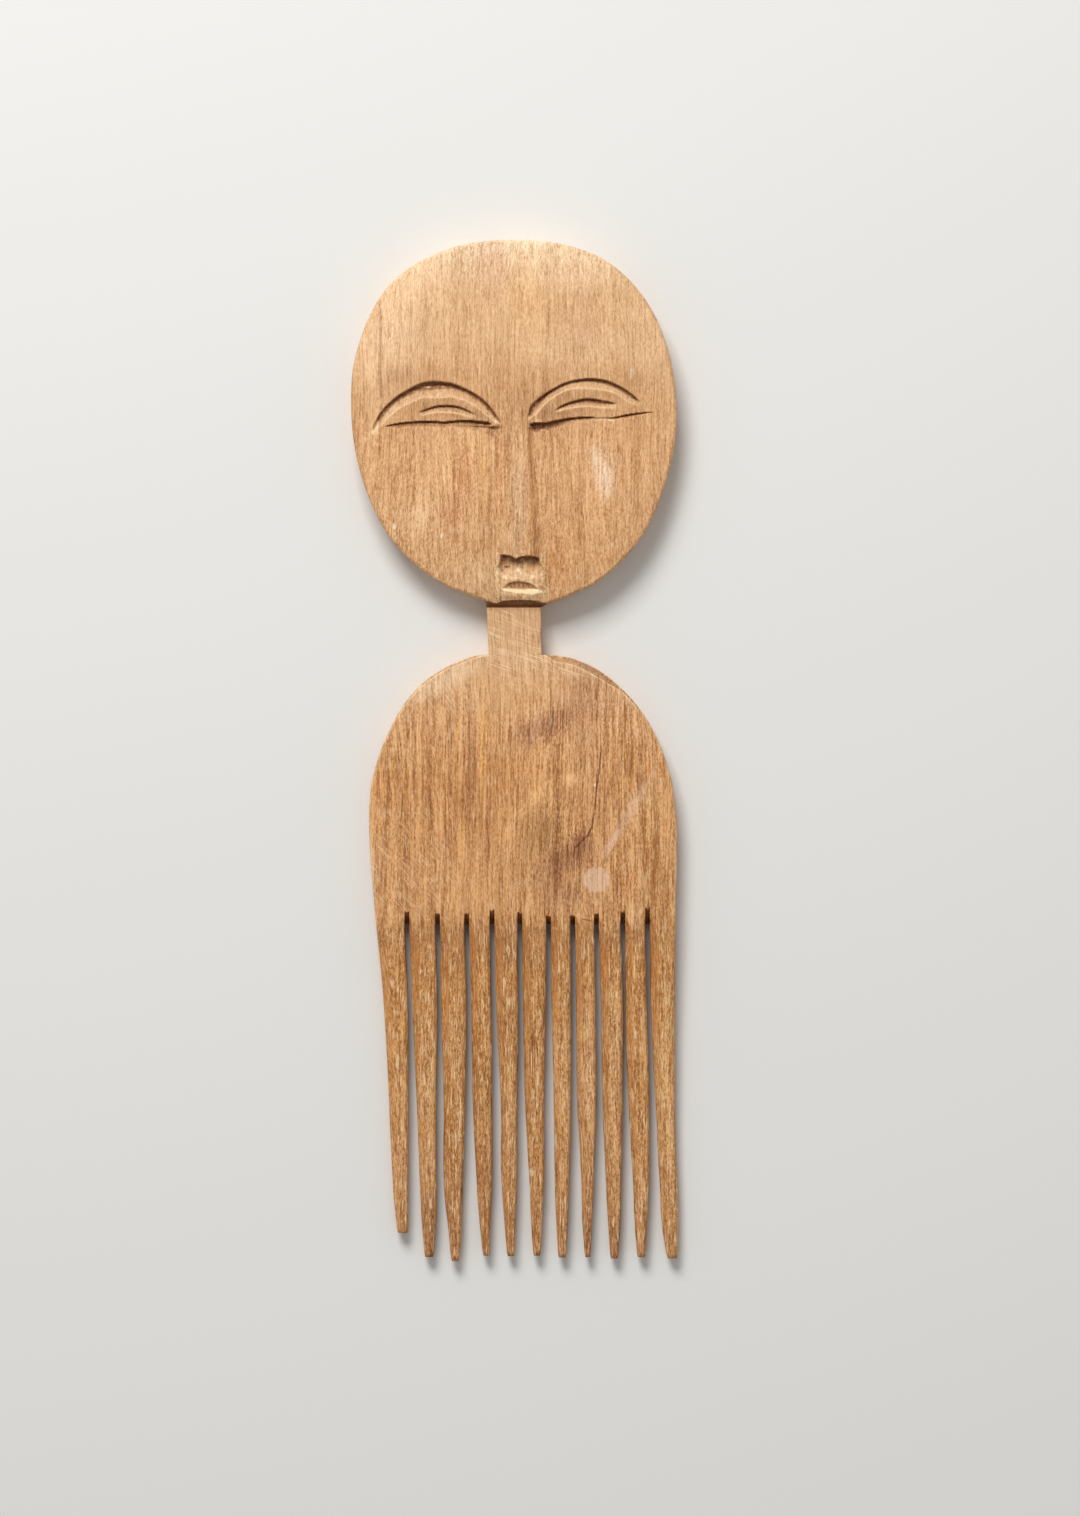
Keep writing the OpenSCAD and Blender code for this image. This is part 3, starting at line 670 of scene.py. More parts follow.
def neck_edges(y):
    return [follow(NECK_LINES, y, column) for column in (1, 2)]


def make_neck(finish):
    rows = stations((SHOULDER_Y, CHIN_Y - 2, 0.5), (CHIN_Y - 2, CHIN_Y, 0.1))
    return skin("carved_neck", board_rings(rows, neck_edges, neck_front, count=24, back_count=8), finish)


def kerf_middle(i):
    return ROOT_SHIFT + (KERF_SHARES[i] - 1 / 2) * 2 * ROOT_HALF


def solid(name, corners, faces):
    mesh = bpy.data.meshes.new(name)
    mesh.from_pydata((np.array(corners) * MM).tolist(), [], faces)
    return put(name, mesh)


def through(outlines):
    """Corners and faces of a solid through several outlines with as many corners each."""
    n = len(outlines[0])
    corners = [corner for outline in outlines for corner in outline]
    last = len(corners) - n
    faces = [tuple(reversed(range(n))), tuple(range(last, last + n))]
    for start in range(0, last, n):
        faces += [(start + k, start + (k + 1) % n, start + n + (k + 1) % n, start + n + k) for k in range(n)]
    return corners, faces


def gather(solids):
    """Corners and faces of several solids as one list."""
    corners, faces = [], []
    for part_corners, part_faces in solids:
        start = len(corners)
        corners += part_corners
        faces += [tuple(start + k for k in f) for f in part_faces]
    return corners, faces


def kerf_cutter(i):
    """Solid that a saw kerf takes out of the plate, with a torn upper end."""
    left = kerf_middle(i) - KERF_WIDE / 2
    torn = np.random.default_rng(200 + i).uniform(-KERF_TORN, KERF_TORN, 7)
    end, back = ROOT_Y - CUT_OVER, ROOT_Y + KERF_BACK
    under, over = -CUT_OVER, ROOT_HIGH + CUT_OVER
    outlines = []
    for k, more in enumerate(torn.tolist()):
        x = left + KERF_WIDE * k / (len(torn) - 1)
        top = KERF_TOPS[i] + more
        section = [(end, under), (back, under), (back, 0), (top, ROOT_HIGH), (top + 0.1, over), (end, over)]
        outlines.append([(x, y, z) for y, z in section])
    return through(outlines)


def facet_cutter(i, side, facet):
    """Wedge that starts the whittled facet of a tooth in the plate, on one side of a kerf."""
    wall_x = kerf_middle(i) + side * KERF_WIDE / 2
    wide, deep = facet
    far = (FACET_START + CUT_OVER) / FACET_START
    start_y, end_y = ROOT_Y + FACET_START, ROOT_Y - CUT_OVER
    clear = KERF_WIDE / 3
    corners = [
        (wall_x, start_y, plate_slope(start_y)),
        (wall_x, end_y, ROOT_HIGH - deep * far),
        (wall_x + side * wide * far, end_y, ROOT_HIGH),
        (wall_x - side * clear, end_y, ROOT_HIGH + clear),
    ]
    faces = [(0, 1, 2), (0, 2, 3), (0, 3, 1), (1, 3, 2)]
    return corners, [corner_order[::-side] for corner_order in faces]


def make_plate(finish):
    rows = stations((ROOT_Y, 14, 0.6), (14, 21.5, 0.3), (21.5, SHOULDER_Y, 0.1))
    rings = board_rings(rows, plate_edges, plate_front, count=150, back_count=24)
    plate = skin("carved_shoulder_plate", rings, finish)
    kerfs = [kerf_cutter(i) for i in range(len(KERF_SHARES))]
    sides = ((1, LEFT_FACET), (-1, RIGHT_FACET))
    facets = [facet_cutter(i, side, facet) for i in range(len(KERF_SHARES)) for side, facet in sides]
    cutters = [solid("kerfs", *gather(kerfs)), solid("facets", *gather(facets))]
    for cutter in cutters:
        cut = plate.modifiers.new(cutter.name, "BOOLEAN")
        cut.operation = "DIFFERENCE"
        cut.solver = "EXACT"
        cut.object = cutter
    bake_modifiers(plate)
    for cutter in cutters:
        bpy.data.objects.remove(cutter)
    return plate


def bake_modifiers(piece):
    """Replaces a piece's mesh by the result of its modifiers."""
    shaped = piece.evaluated_get(bpy.context.evaluated_depsgraph_get())
    mesh = bpy.data.meshes.new_from_object(shaped)
    piece.modifiers.clear()
    piece.data = mesh


def tooth_edges(i):
    """x of the left and the right edge of a tooth's root."""
    left = PLATE_LINES[0][1] if i == 0 else kerf_middle(i - 1) + KERF_WIDE / 2
    right = PLATE_LINES[0][2] if i == len(KERF_SHARES) else kerf_middle(i) - KERF_WIDE / 2
    return left, right


def tooth_rings(i, node):
    """Rings of a whittled tooth from its tip up to its root."""
    tip_x, tip_wide, widths, drifts = TEETH[i]
    left, right = tooth_edges(i)
    tip_y = node_box(node)[0][1]
    u = np.concatenate([np.linspace(0, 0.97, 130, endpoint=False), np.linspace(0.97, 1, 8)])
    places = [0, *TOOTH_STATIONS, 1]
    shape = curve_through(list(zip(places, (right - left, *widths, tip_wide), (0, *drifts, 0))), 12)
    width, drift = (follow(shape, u, column) for column in (1, 2))
    mid = (left + right) / 2 + (tip_x - (left + right) / 2) * u + drift
    low = TIP_RISE * u**THIN_POWER
    high = low + ROOT_HIGH + (TIP_HIGH - ROOT_HIGH) * u
    y = ROOT_Y - u * (ROOT_Y - tip_y)
    end = np.clip((u - BLUNT_START) / (1 - BLUNT_START), 0, 1)
    blunt = 1 - BLUNT_SHARE * end**2
    half = width / 2 * blunt
    thick = (high - low) / 2 * blunt
    centre = (high + low) / 2
    grow = smooth_step(u, 0, 0.28)
    grow_left = smooth_step(u, 0, 0.07)
    wave = smooth_noise(u * 9, i * 3.7, 51)
    start_left = OUTER_FACETS[0] if i == 0 else LEFT_FACET[0]
    start_right = OUTER_FACETS[1] if i == len(TEETH) - 1 else RIGHT_FACET[0]
    front_left = start_left + (FACET_SHARES[0] * width - start_left) * grow_left * (1 + 0.2 * wave)
    front_right = start_right + (FACET_SHARES[1] * width - start_right) * grow * (1 - 0.2 * wave)
    drop_left = np.minimum(front_left * LEFT_FACET[1] / LEFT_FACET[0], thick * 1.1)
    drop_right = np.minimum(front_right * RIGHT_FACET[1] / RIGHT_FACET[0], thick * 1.1)
    back = 0.02 + BACK_SHARE * width * grow
    rise = np.minimum(back, thick * 0.7)
    # Corners clockwise as seen along +y, from the left end of the front: side, inset, up or down, drop
    corners = np.stack([
        np.stack([mid + side * (half - inset), centre + up * (thick - drop)], 1)
        for side, inset, up, drop in [
            (-1, front_left, 1, 0), (1, front_right, 1, 0), (1, 0, 1, drop_right), (1, 0, -1, rise),
            (1, back, -1, 0), (-1, back, -1, 0), (-1, 0, -1, rise), (-1, 0, 1, drop_left),
        ]
    ], axis=1)
    before = np.roll(corners, 1, axis=1)
    after = np.roll(corners, -1, axis=1)
    soft = 0.02 + 0.14 * grow[:, None, None]
    near_before = corners + (before - corners) * soft
    near_after = corners + (after - corners) * soft
    eased = corners * 0.5 + (near_before + near_after) * 0.25
    half_way = (corners + after) / 2
    ring = np.stack([near_before, eased, near_after, half_way], axis=2).reshape(len(u), -1, 2)
    out = ring - np.stack([mid, centre], 1)[:, None]
    out = out / np.maximum(np.linalg.norm(out, axis=2, keepdims=True), 0.01)
    around = np.arange(ring.shape[1])
    settle = smooth_step(u, 0, 0.05)[:, None]
    rough = 0.05 * smooth_noise(around / 1.3, y[:, None] / 3.5, 60 + i)
    rough += 0.07 * smooth_noise(around / 5, y[:, None] / 9, 80 + i)
    rough = (rough * settle - 0.03) * settle
    x = ring[:, :, 0] + out[:, :, 0] * rough
    z = np.maximum(ring[:, :, 1] + out[:, :, 1] * rough, 0)
    dirt = 0.45 * smooth_step(u, BLUNT_START, 1)
    bare = (0.8 + 0.3 * smooth_noise(u * 14, i * 2.3, 53)) * (1 - 0.55 * smooth_step(u, 0.15, 0.5))
    # The points between the last corner and the first lie on the left facet
    on_facet = np.isin(around, (0, len(around) - 2, len(around) - 1))
    level = np.ones(len(around))
    y, dirt, bare = np.outer(y, level), np.outer(dirt, level), np.outer(bare, on_facet)
    return np.stack([x, y, z, dirt, bare], axis=2)[::-1]


def make_tooth(i, node, finish):
    return skin("carved_" + node, tooth_rings(i, node), finish)


class Amount:
    """A number that changes over a surface. Arithmetic on it adds Math nodes."""

    def __init__(self, finish, socket):
        self.finish = finish
        self.socket = socket

    def maths(self, operation, other):
        return self.finish.node("Math", {"operation": operation}, {0: self, 1: other})

    def __add__(self, other):
        return self.maths("ADD", other)

    def __sub__(self, other):
        return self.maths("SUBTRACT", other)

    def __rsub__(self, other):
        return self.finish.node("Math", {"operation": "SUBTRACT"}, {0: other, 1: self})

    def __mul__(self, other):
        return self.maths("MULTIPLY", other)

    __radd__ = __add__
    __rmul__ = __mul__

    def between(self, low, high):
        """0 at low and 1 at high, with an eased climb."""
        links = {"Value": self, "From Min": low, "From Max": high}
        return self.finish.node("MapRange", {"interpolation_type": "SMOOTHSTEP"}, links)


class Finish:
    """A material in the making. One method adds any node, and the others are the common ones."""

    def __init__(self, name):
        self.material = bpy.data.materials.new(name)
        self.material.use_nodes = True
        self.tree = self.material.node_tree
        self.tree.nodes.clear()

    def node(self, kind, settings=None, links=None, output=0):
        made = self.tree.nodes.new("ShaderNode" + kind)
        for setting, value in (settings or {}).items():
            if setting == "stops":
                self.set_stops(made.color_ramp, value)
            else:
                setattr(made, setting, value)
        for key, value in (links or {}).items():
            socket = made.inputs[key]
            if isinstance(value, Amount):
                self.tree.links.new(value.socket, socket)
            else:
                socket.default_value = value
        return Amount(self, made.outputs[output]) if len(made.outputs) else None

    def set_stops(self, ramp, stops):
        while len(ramp.elements) < len(stops):
            ramp.elements.new(1)
        for element, (position, colour) in zip(ramp.elements, stops):
            element.position = position
            element.color = colour

    def place(self):
        """Place on the pick in millimetres."""
        here = self.node("TexCoord", output="Object")
        return self.vector("SCALE", here, {"Scale": 1 / MM})

    def vector(self, operation, first, links=None, output="Vector"):
        return self.node("VectorMath", {"operation": operation}, {0: first, **(links or {})}, output)

    def stretched(self, place, scales):
        return self.vector("MULTIPLY", place, {1: scales})

    def noise(self, place, scales, detail=2, rough=0.5):
        links = {"Vector": self.stretched(place, scales), "Scale": 1, "Detail": detail, "Roughness": rough}
        return self.node("TexNoise", None, links)

    def turned(self, place, middle, degrees):
        links = {"Vector": place, "Center": middle, "Angle": radians(degrees)}
        return self.node("VectorRotate", {"rotation_type": "Z_AXIS"}, links)

    def patch(self, place, x, y, wide, long, turn=0, soft=0.9, ragged=0):
        """Soft-edged patch, from its middle, half width and half length, turned left in degrees."""
        local = self.vector("SUBTRACT", self.turned(place, (x, y, 0), -turn), {1: (x, y, 0)})
        local = self.stretched(local, (1 / wide, 1 / long, 0))
        far = self.vector("LENGTH", local, output="Value") + ragged
        return 1 - far.between(1 - soft, 1 + soft)

    def mixed(self, share, under, over, how="MIX"):
        """Colour over laid on colour under by a share."""
        links = {0: share, 6: under, 7: over}
        return self.node("Mix", {"data_type": "RGBA", "blend_type": how, "clamp_factor": True}, links, 2)

    def carried(self, mark):
        """A mark that the mesh carries at its points."""
        return self.node("Attribute", {"attribute_name": mark}, output="Fac")

    def shaded(self, links):
        """The finished material, once its surface has all that it needs."""
        self.node("OutputMaterial", None, {"Surface": self.node("BsdfPrincipled", None, links)})
        return self.material


def tone(red, green, blue):
    """A colour given as eight-bit screen values, for a socket."""
    shares = [value / 255 for value in (red, green, blue)]
    return (*[((c + 0.055) / 1.055) ** 2.4 if c > 0.04045 else c / 12.92 for c in shares], 1)


def along_pick(finish, place, stops):
    """Colour that changes along the pick, from listed places: y, then a tone."""
    low, high = stops[0][0], stops[-1][0]
    split = finish.node("SeparateXYZ", None, {0: place}, "Y")
    share = (split - low) * (1 / (high - low))
    marks = [((y - low) / (high - low), tone(*colour)) for y, colour in stops]
    return finish.node("ValToRGB", {"stops": marks}, {0: share})


BOARD_TONES = [
    (-125, (184, 130, 80)), (-85, (194, 137, 78)), (-50, (199, 141, 80)), (-38, (206, 150, 95)),
    (-5, (208, 149, 92)), (12, (218, 164, 112)), (24, (221, 172, 122)), (33, (214, 166, 117)),
    (45, (218, 165, 112)), (75, (219, 165, 112)), (90, (213, 161, 109)), (102, (220, 172, 122)),
    (112, (222, 175, 124)), (121, (231, 193, 149)), (125, (238, 208, 168)),
]
DARK_GRAIN = (0.56, 0.44, 0.3, 1)
PALE_GRAIN = (1.32, 1.46, 1.68, 1)
PORE = (0.6, 0.45, 0.3, 1)
# Tone towards which grime and painted shade darken the wood
DIRT_AND_SHADE_TONE = (0.22, 0.11, 0.03, 1)
SCRATCHED = (248, 218, 178)
FLECKED = (246, 214, 170)
TORN_PALE = (252, 227, 181)
FACET_TONE = (190, 120, 58)


def wood(name, weights, marks, relief, scratches=(), bare=(TORN_PALE, 0.88), lively=(), rubbed=()):
    """Bare wood with straight grain along the pick. The weights say how strongly short dashes,
    hair-thin fibre, long streaks, wide bands, dark pores and pale flecks show, and relief is how far
    they stand out in millimetres. Marks lie under the grain and rubbed patches over it, lively
    patches have more or less of it by a share, and bare is the tone of the places that the mesh
    marks as torn, cut or lit by a painted highlight, and its strength."""
    fine_weight, fibre_weight, streak_weight, band_weight, pore_weight, fleck_weight = weights
    finish = Finish(name)
    place = finish.place()
    bend = finish.noise(place, (0.06, 0.016, 0.05), 1) - 0.5
    grain = finish.vector("ADD", place, {1: finish.node("CombineXYZ", None, {"X": bend * 5})})
    fine = finish.noise(grain, (3.3, 1.1, 3.3), 3, 0.7) - 0.5
    fibre = finish.noise(grain, (2.2, 0.09, 1.8), 4, 0.65) - 0.5
    streak = finish.noise(grain, (0.9, 0.02, 0.5), 3, 0.6) - 0.5
    band = finish.noise(grain, (0.16, 0.012, 0.1), 2, 0.5) - 0.5
    pores = finish.noise(grain, (2.7, 0.2, 2.7), 1, 0.4).between(0.58, 0.68)
    elsewhere = finish.vector("ADD", grain, {1: (90, 40, 10)})
    flecks = finish.noise(elsewhere, (2.7, 0.26, 2.4), 1, 0.5).between(0.57, 0.68)

    colour = along_pick(finish, place, BOARD_TONES)
    for mark, over, strength in marks:
        patch = finish.patch(place, *mark, ragged=fibre * 1.2 + fine * 1.2)
        colour = finish.mixed(patch * strength, colour, tone(*over))
    shade = fine * fine_weight + fibre * fibre_weight + streak * streak_weight + band * band_weight
    for mark, more in lively:
        shade = shade * (1 + finish.patch(place, *mark) * more)
    dark = finish.mixed(1, colour, DARK_GRAIN, "MULTIPLY")
    pale = finish.mixed(1, colour, PALE_GRAIN, "MULTIPLY")
    colour = finish.mixed(shade + 0.5, dark, pale)
    for mark, turn, strength in scratches:
        lines = finish.noise(finish.turned(place, (0, 0, 0), turn), (5, 0.12, 1), 2, 0.7)
        scratch = lines.between(0.54, 0.66) * finish.patch(place, *mark, ragged=fibre)
        colour = finish.mixed(scratch * strength, colour, tone(*SCRATCHED))
    colour = finish.mixed(flecks * fleck_weight, colour, tone(*FLECKED))
    colour = finish.mixed(pores * pore_weight, colour, finish.mixed(1, colour, PORE, "MULTIPLY"))
    for mark, over, strength, streaky in rubbed:
        share = finish.patch(place, *mark) * (1 + (fibre + fine * 0.5) * streaky) * strength
        colour = finish.mixed(share, colour, tone(*over))
    # Grime and painted shade darken the wood, torn places and painted highlights take the bare tone
    dirt, torn = finish.carried("dirt"), finish.carried("torn")
    colour = finish.mixed(dirt, colour, finish.mixed(1, colour, DIRT_AND_SHADE_TONE, "MULTIPLY"))
    colour = finish.mixed(torn * bare[1], colour, tone(*bare[0]))

    height = fibre * 0.6 + fine * 0.6 + streak * 0.4 + flecks * 0.15 - pores * 0.5
    bump = finish.node("Bump", None, {"Strength": 0.8, "Distance": relief * MM, "Height": height})
    rough = fibre * 0.25 + pores * 0.15 + 0.62
    return finish.shaded({
        "Base Color": colour, "Roughness": rough, "Normal": bump, "Specular IOR Level": 0.3,
    })


def line_marks(points, wide, over, strength):
    """Patches end to end along a line of listed places."""
    marks = []
    for (x_a, y_a), (x_b, y_b) in zip(points, points[1:]):
        run, rise = x_a - x_b, y_a - y_b
        long, turn = np.hypot(run, rise) / 2 + wide, -np.degrees(np.arctan2(run, rise))
        marks.append((((x_a + x_b) / 2, (y_a + y_b) / 2, wide, long, turn, 0.6), over, strength))
    return marks


# Darker band across the roots of the teeth
ROOT_MARK = ((2, -47, 36, 5.5, 0, 0.6), (166, 110, 62), 0.5)
# Patches of the face: x, y, half width, half length, then turn and softness unless they are 0 and
# 0.9, then the tone and its strength
FACE_MARKS = [
    # Pale patches at (-30, 103) and (34, 98): painted light on the head's edges, the first also pale grain
    ((-30, 103, 8, 16, -12, 0.9), (248, 208, 162), 0.5), ((-3, 91, 12, 5), (196, 142, 92), 0.2),
    ((34, 98, 5, 12, 12, 0.9), (246, 204, 158), 0.28), ((14, 97, 12, 5), (244, 202, 156), 0.25),
    ((-5.9, 117.6, 4, 8, 0, 0.6), (196, 142, 104), 0.4),
    ((16.5, 107, 3.5, 9, 0, 0.7), (194, 138, 98), 0.3),
    ((3.4, 110.2, 5, 9, 0, 0.7), (224, 172, 112), 0.4),
    ((-32.7, 95, 0.4, 20, 0, 0.6), (172, 118, 76), 0.4),
    ((-21.7, 101, 0.4, 20, 0, 0.6), (172, 118, 76), 0.3),
    ((-20, 92.2, 8, 2, 0, 0.8), (176, 120, 76), 0.3), ((14, 92.4, 12, 2, 0, 0.8), (190, 136, 88), 0.2),
    ((28.6, 92.2, 0.35, 1.6, -6, 0.4), (250, 220, 176), 0.9),
    ((-12.2, 68.5, 1.9, 8, 0, 0.6), (198, 128, 80), 0.45),
    ((-14.8, 57.5, 2.2, 5, 0, 0.6), (190, 120, 80), 0.45),
    ((-7.3, 68, 1.5, 8, 2, 0.8), (232, 172, 104), 0.35),
    ((-10, 76, 1.6, 5, 40, 0.8), (234, 184, 124), 0.3),
    ((-16.5, 69, 1, 7, -16, 0.6), (236, 186, 124), 0.45),
    ((-29.2, 54.9, 0.5, 0.7, 0, 0.4), (250, 222, 184), 0.9),
    ((-17.6, 52.6, 0.35, 0.7, 0, 0.4), (250, 222, 184), 0.8),
    ((10.8, 46.5, 2.6, 7, 4, 0.8), (202, 130, 70), 0.5), ((16, 52, 9, 14), (204, 142, 84), 0.3),
    ((27, 73.2, 3, 0.5, 0, 0.7), (196, 122, 66), 0.4),
    ((22.4, 78.5, 0.8, 0.6, 0, 0.7), (190, 112, 56), 0.4),
    ((3.9, 72, 0.7, 9, 0, 0.7), (184, 118, 62), 0.5), ((5.4, 56, 0.9, 11, 3, 0.7), (190, 124, 68), 0.5),
    ((-3.6, 68, 0.9, 10, -2, 0.7), (206, 136, 84), 0.4), ((1, 62, 2, 16, 0, 0.8), (208, 168, 130), 0.4),
    ((9.4, 55.6, 0.25, 0.25, 0, 0.3), (252, 226, 200), 0.8),
    ((-18, 42, 12, 5, 20, 0.9), (226, 178, 128), 0.3),
    ((-29.8, 90, 6, 2.6, 38, 0.9), (182, 128, 82), 0.45),
    ((29.5, 90.6, 4, 2, -30, 0.9), (188, 134, 88), 0.3), ((0.2, 81, 3.6, 6), (186, 134, 88), 0.4),
    ((12.5, 77.8, 4.5, 1.8, 10, 0.9), (192, 138, 90), 0.35),
    ((12.5, 62.5, 2.6, 5), (194, 140, 90), 0.3), ((12, 118, 8, 4.5), (248, 208, 164), 0.4),
    ((-7.8, 42.5, 3, 4), (244, 202, 152), 0.35), ((12.5, 82.5, 4, 2.4), (188, 134, 88), 0.3),
    ((7.8, 88, 3, 2, 40, 0.9), (188, 134, 88), 0.35), ((17.5, 117, 4, 4), (248, 208, 164), 0.3),
]
PLATE_MARKS = [
    ROOT_MARK, ((-20, -14, 17, 26), (206, 138, 74), 0.3),
    ((-12.4, -18, 0.5, 8, 0, 0.6), (232, 172, 94), 0.6),
    ((-7.5, 2, 1, 15, 0, 0.7), (226, 164, 92), 0.6), ((-13.7, 4, 0.4, 6, 0, 0.6), (228, 172, 104), 0.5),
    ((3.6, -28, 0.8, 9, 6, 0.6), (220, 160, 104), 0.25), ((-11.2, -5, 1.5, 15), (158, 98, 54), 0.35),
    ((17.2, 3, 3.4, 18, -2, 0.9), (166, 110, 68), 0.5), ((14, 11, 5, 5), (170, 112, 72), 0.35),
    ((-12.6, -12, 1.6, 8), (166, 104, 56), 0.3), ((-7.5, -18, 2.4, 9), (172, 114, 66), 0.4),
    ((6.8, 6, 7.5, 2.8, 28, 0.9), (146, 88, 60), 0.6),
    ((12, -26.4, 5.8, 3, 32, 0.8), (128, 70, 42), 0.65),
    ((16.4, -22, 2.4, 2, 30, 0.8), (132, 76, 44), 0.6),
    ((7.4, -19.5, 4.4, 5.4, -20, 0.9), (148, 100, 48), 0.6), ((18, -25, 3, 4.5), (160, 106, 66), 0.45),
    ((3.5, -22, 2, 5), (170, 116, 66), 0.25), ((22, -12, 2.4, 7), (176, 120, 76), 0.35),
    ((13, -11, 1.6, 6, 30, 0.9), (164, 110, 66), 0.35), ((12, -34, 6.5, 4.5), (160, 106, 70), 0.5),
    # Pale sanded band along the left shoulder, partly a painted highlight
    ((-16.5, 17.6, 2.2, 9.5, -61, 0.7), (240, 206, 166), 0.4),
    ((4, 13, 8, 4, 0, 0.8), (222, 168, 108), 0.35), ((20, 15, 5, 6, 40, 0.9), (190, 138, 98), 0.35),
    ((19.8, -8.2, 0.25, 0.5, 0, 0.4), (246, 208, 164), 0.8),
    ((27.8, -32.6, 1.6, 2.6, 0, 0.8), (204, 128, 70), 0.4), ((7.5, -17, 2.6, 3), (146, 98, 54), 0.3),
    ((2.6, -30, 2.6, 5), (168, 114, 66), 0.28), ((7.5, -33, 3, 3), (158, 106, 66), 0.3),
    ((22.5, -38, 3, 3), (174, 118, 74), 0.35), ((-28, 2, 3, 4.5), (242, 192, 132), 0.3),
    ((-22, -3, 8, 4), (238, 188, 126), 0.2), ((-7.5, 15, 3, 5), (242, 196, 142), 0.28),
    ((17.5, -2.5, 2.5, 4), (232, 182, 122), 0.28), ((33, -12.5, 3, 5), (238, 192, 132), 0.32),
]
# Rubbed patches, in the same way, and how streaky each is
PLATE_RUBBED = [
    ((20.2, -31.4, 3.3, 3, 0, 0.14), (229, 190, 158), 0.7, 2.5),
    ((23.6, -22.8, 0.9, 3.8, -31, 0.5), (232, 192, 160), 0.5, 3),
    ((28.8, -14, 1.3, 8.5, -31, 0.6), (230, 190, 156), 0.4, 3),
    # Pale sanded band along the left shoulder, partly a painted highlight
    ((-16.5, 17.6, 2, 9, -61, 0.8), (240, 206, 166), 0.25, 4),
]
FACE_RUBBED = [
    ((21.9, 68.5, 2.2, 5, 8, 0.9), (248, 220, 190), 0.42, 9),
    ((22.6, 66, 0.8, 4, -8, 0.9), (252, 226, 200), 0.3, 7),
    ((20, 71.5, 1, 3, 20, 0.9), (246, 214, 182), 0.3, 9), ((-23, 57, 4, 5), (246, 204, 156), 0.3, 9),
]
# Golden swath round a dark eye in the grain, low in the plate's middle
SWATH = [(15.6, -6.6), (12, -7.2), (8, -8.9), (4.4, -11.8), (1.6, -15.4), (-0.6, -19.6), (-1.9, -24.5)]
PLATE_MARKS += line_marks(SWATH, 1.6, (232, 178, 116), 0.28)
# Dark lines of the grain in the plate: x, y, half width, half length and strength
DARK_LINES = [
    (-30.6, -14, 0.25, 16, 0.45), (-28.4, -8, 0.3, 18, 0.35), (-26.4, -10, 0.35, 20, 0.45),
    (-24.3, -6, 0.25, 18, 0.35), (-22.3, -6, 0.35, 22, 0.45), (-20.5, -4, 0.3, 18, 0.4),
    (-18.5, -8, 0.35, 22, 0.45), (-15.7, -2, 0.35, 18, 0.45), (-11, -3, 0.4, 15, 0.45),
    (-9.8, -3, 0.3, 12, 0.35), (-16.9, -22, 0.3, 10, 0.4), (-6.5, -22, 0.3, 12, 0.4),
    (25.6, -22, 0.3, 12, 0.35), (30.8, -10, 0.3, 14, 0.3),
]
PLATE_MARKS += [((x, y, wide, long), (136, 80, 42), strong) for x, y, wide, long, strong in DARK_LINES]
# Hair crack down to the dark eye
CRACK = [
    (21.4, 1), (20.6, -6), (20, -10.4), (19.6, -15.5), (19, -18.6), (17.9, -20.7), (16.2, -22.4),
    (14.9, -23.7), (14.4, -25.8),
]
PLATE_MARKS += line_marks(CRACK, 0.24, (104, 60, 30), 0.8)
# Short dark scratch and dark specks beside kerfs, and the orange starts of the whittled facets
PLATE_MARKS += [
    ((17.8, -41.3, 1.3, 0.16, -12, 0.5), (96, 58, 30), 0.7),
    ((-8.4, -41.7, 0.6, 0.5, 0, 0.8), (110, 70, 40), 0.6),
    ((-15.4, -41.7, 0.4, 0.4, 0, 0.8), (110, 70, 40), 0.6),
]
PLATE_MARKS += [
    ((kerf_middle(i) + KERF_WIDE / 2 + 0.5, ROOT_Y + 0.4, 0.55, 2, 14, 0.5), FACET_TONE, 0.6)
    for i in range(len(KERF_SHARES))
]
# Scratches: where, which way they turn, and their strength
PLATE_SCRATCHES = [
    ((-26, -28, 13, 14, 0, 0.5), -42, 0.5), ((-17, 15, 9, 5, -30, 0.5), -36, 0.6),
    ((0, 26.5, 9, 9, 0, 0.5), -70, 0.6), ((7, 22, 11, 2.6, -14, 0.6), -72, 0.7),
]
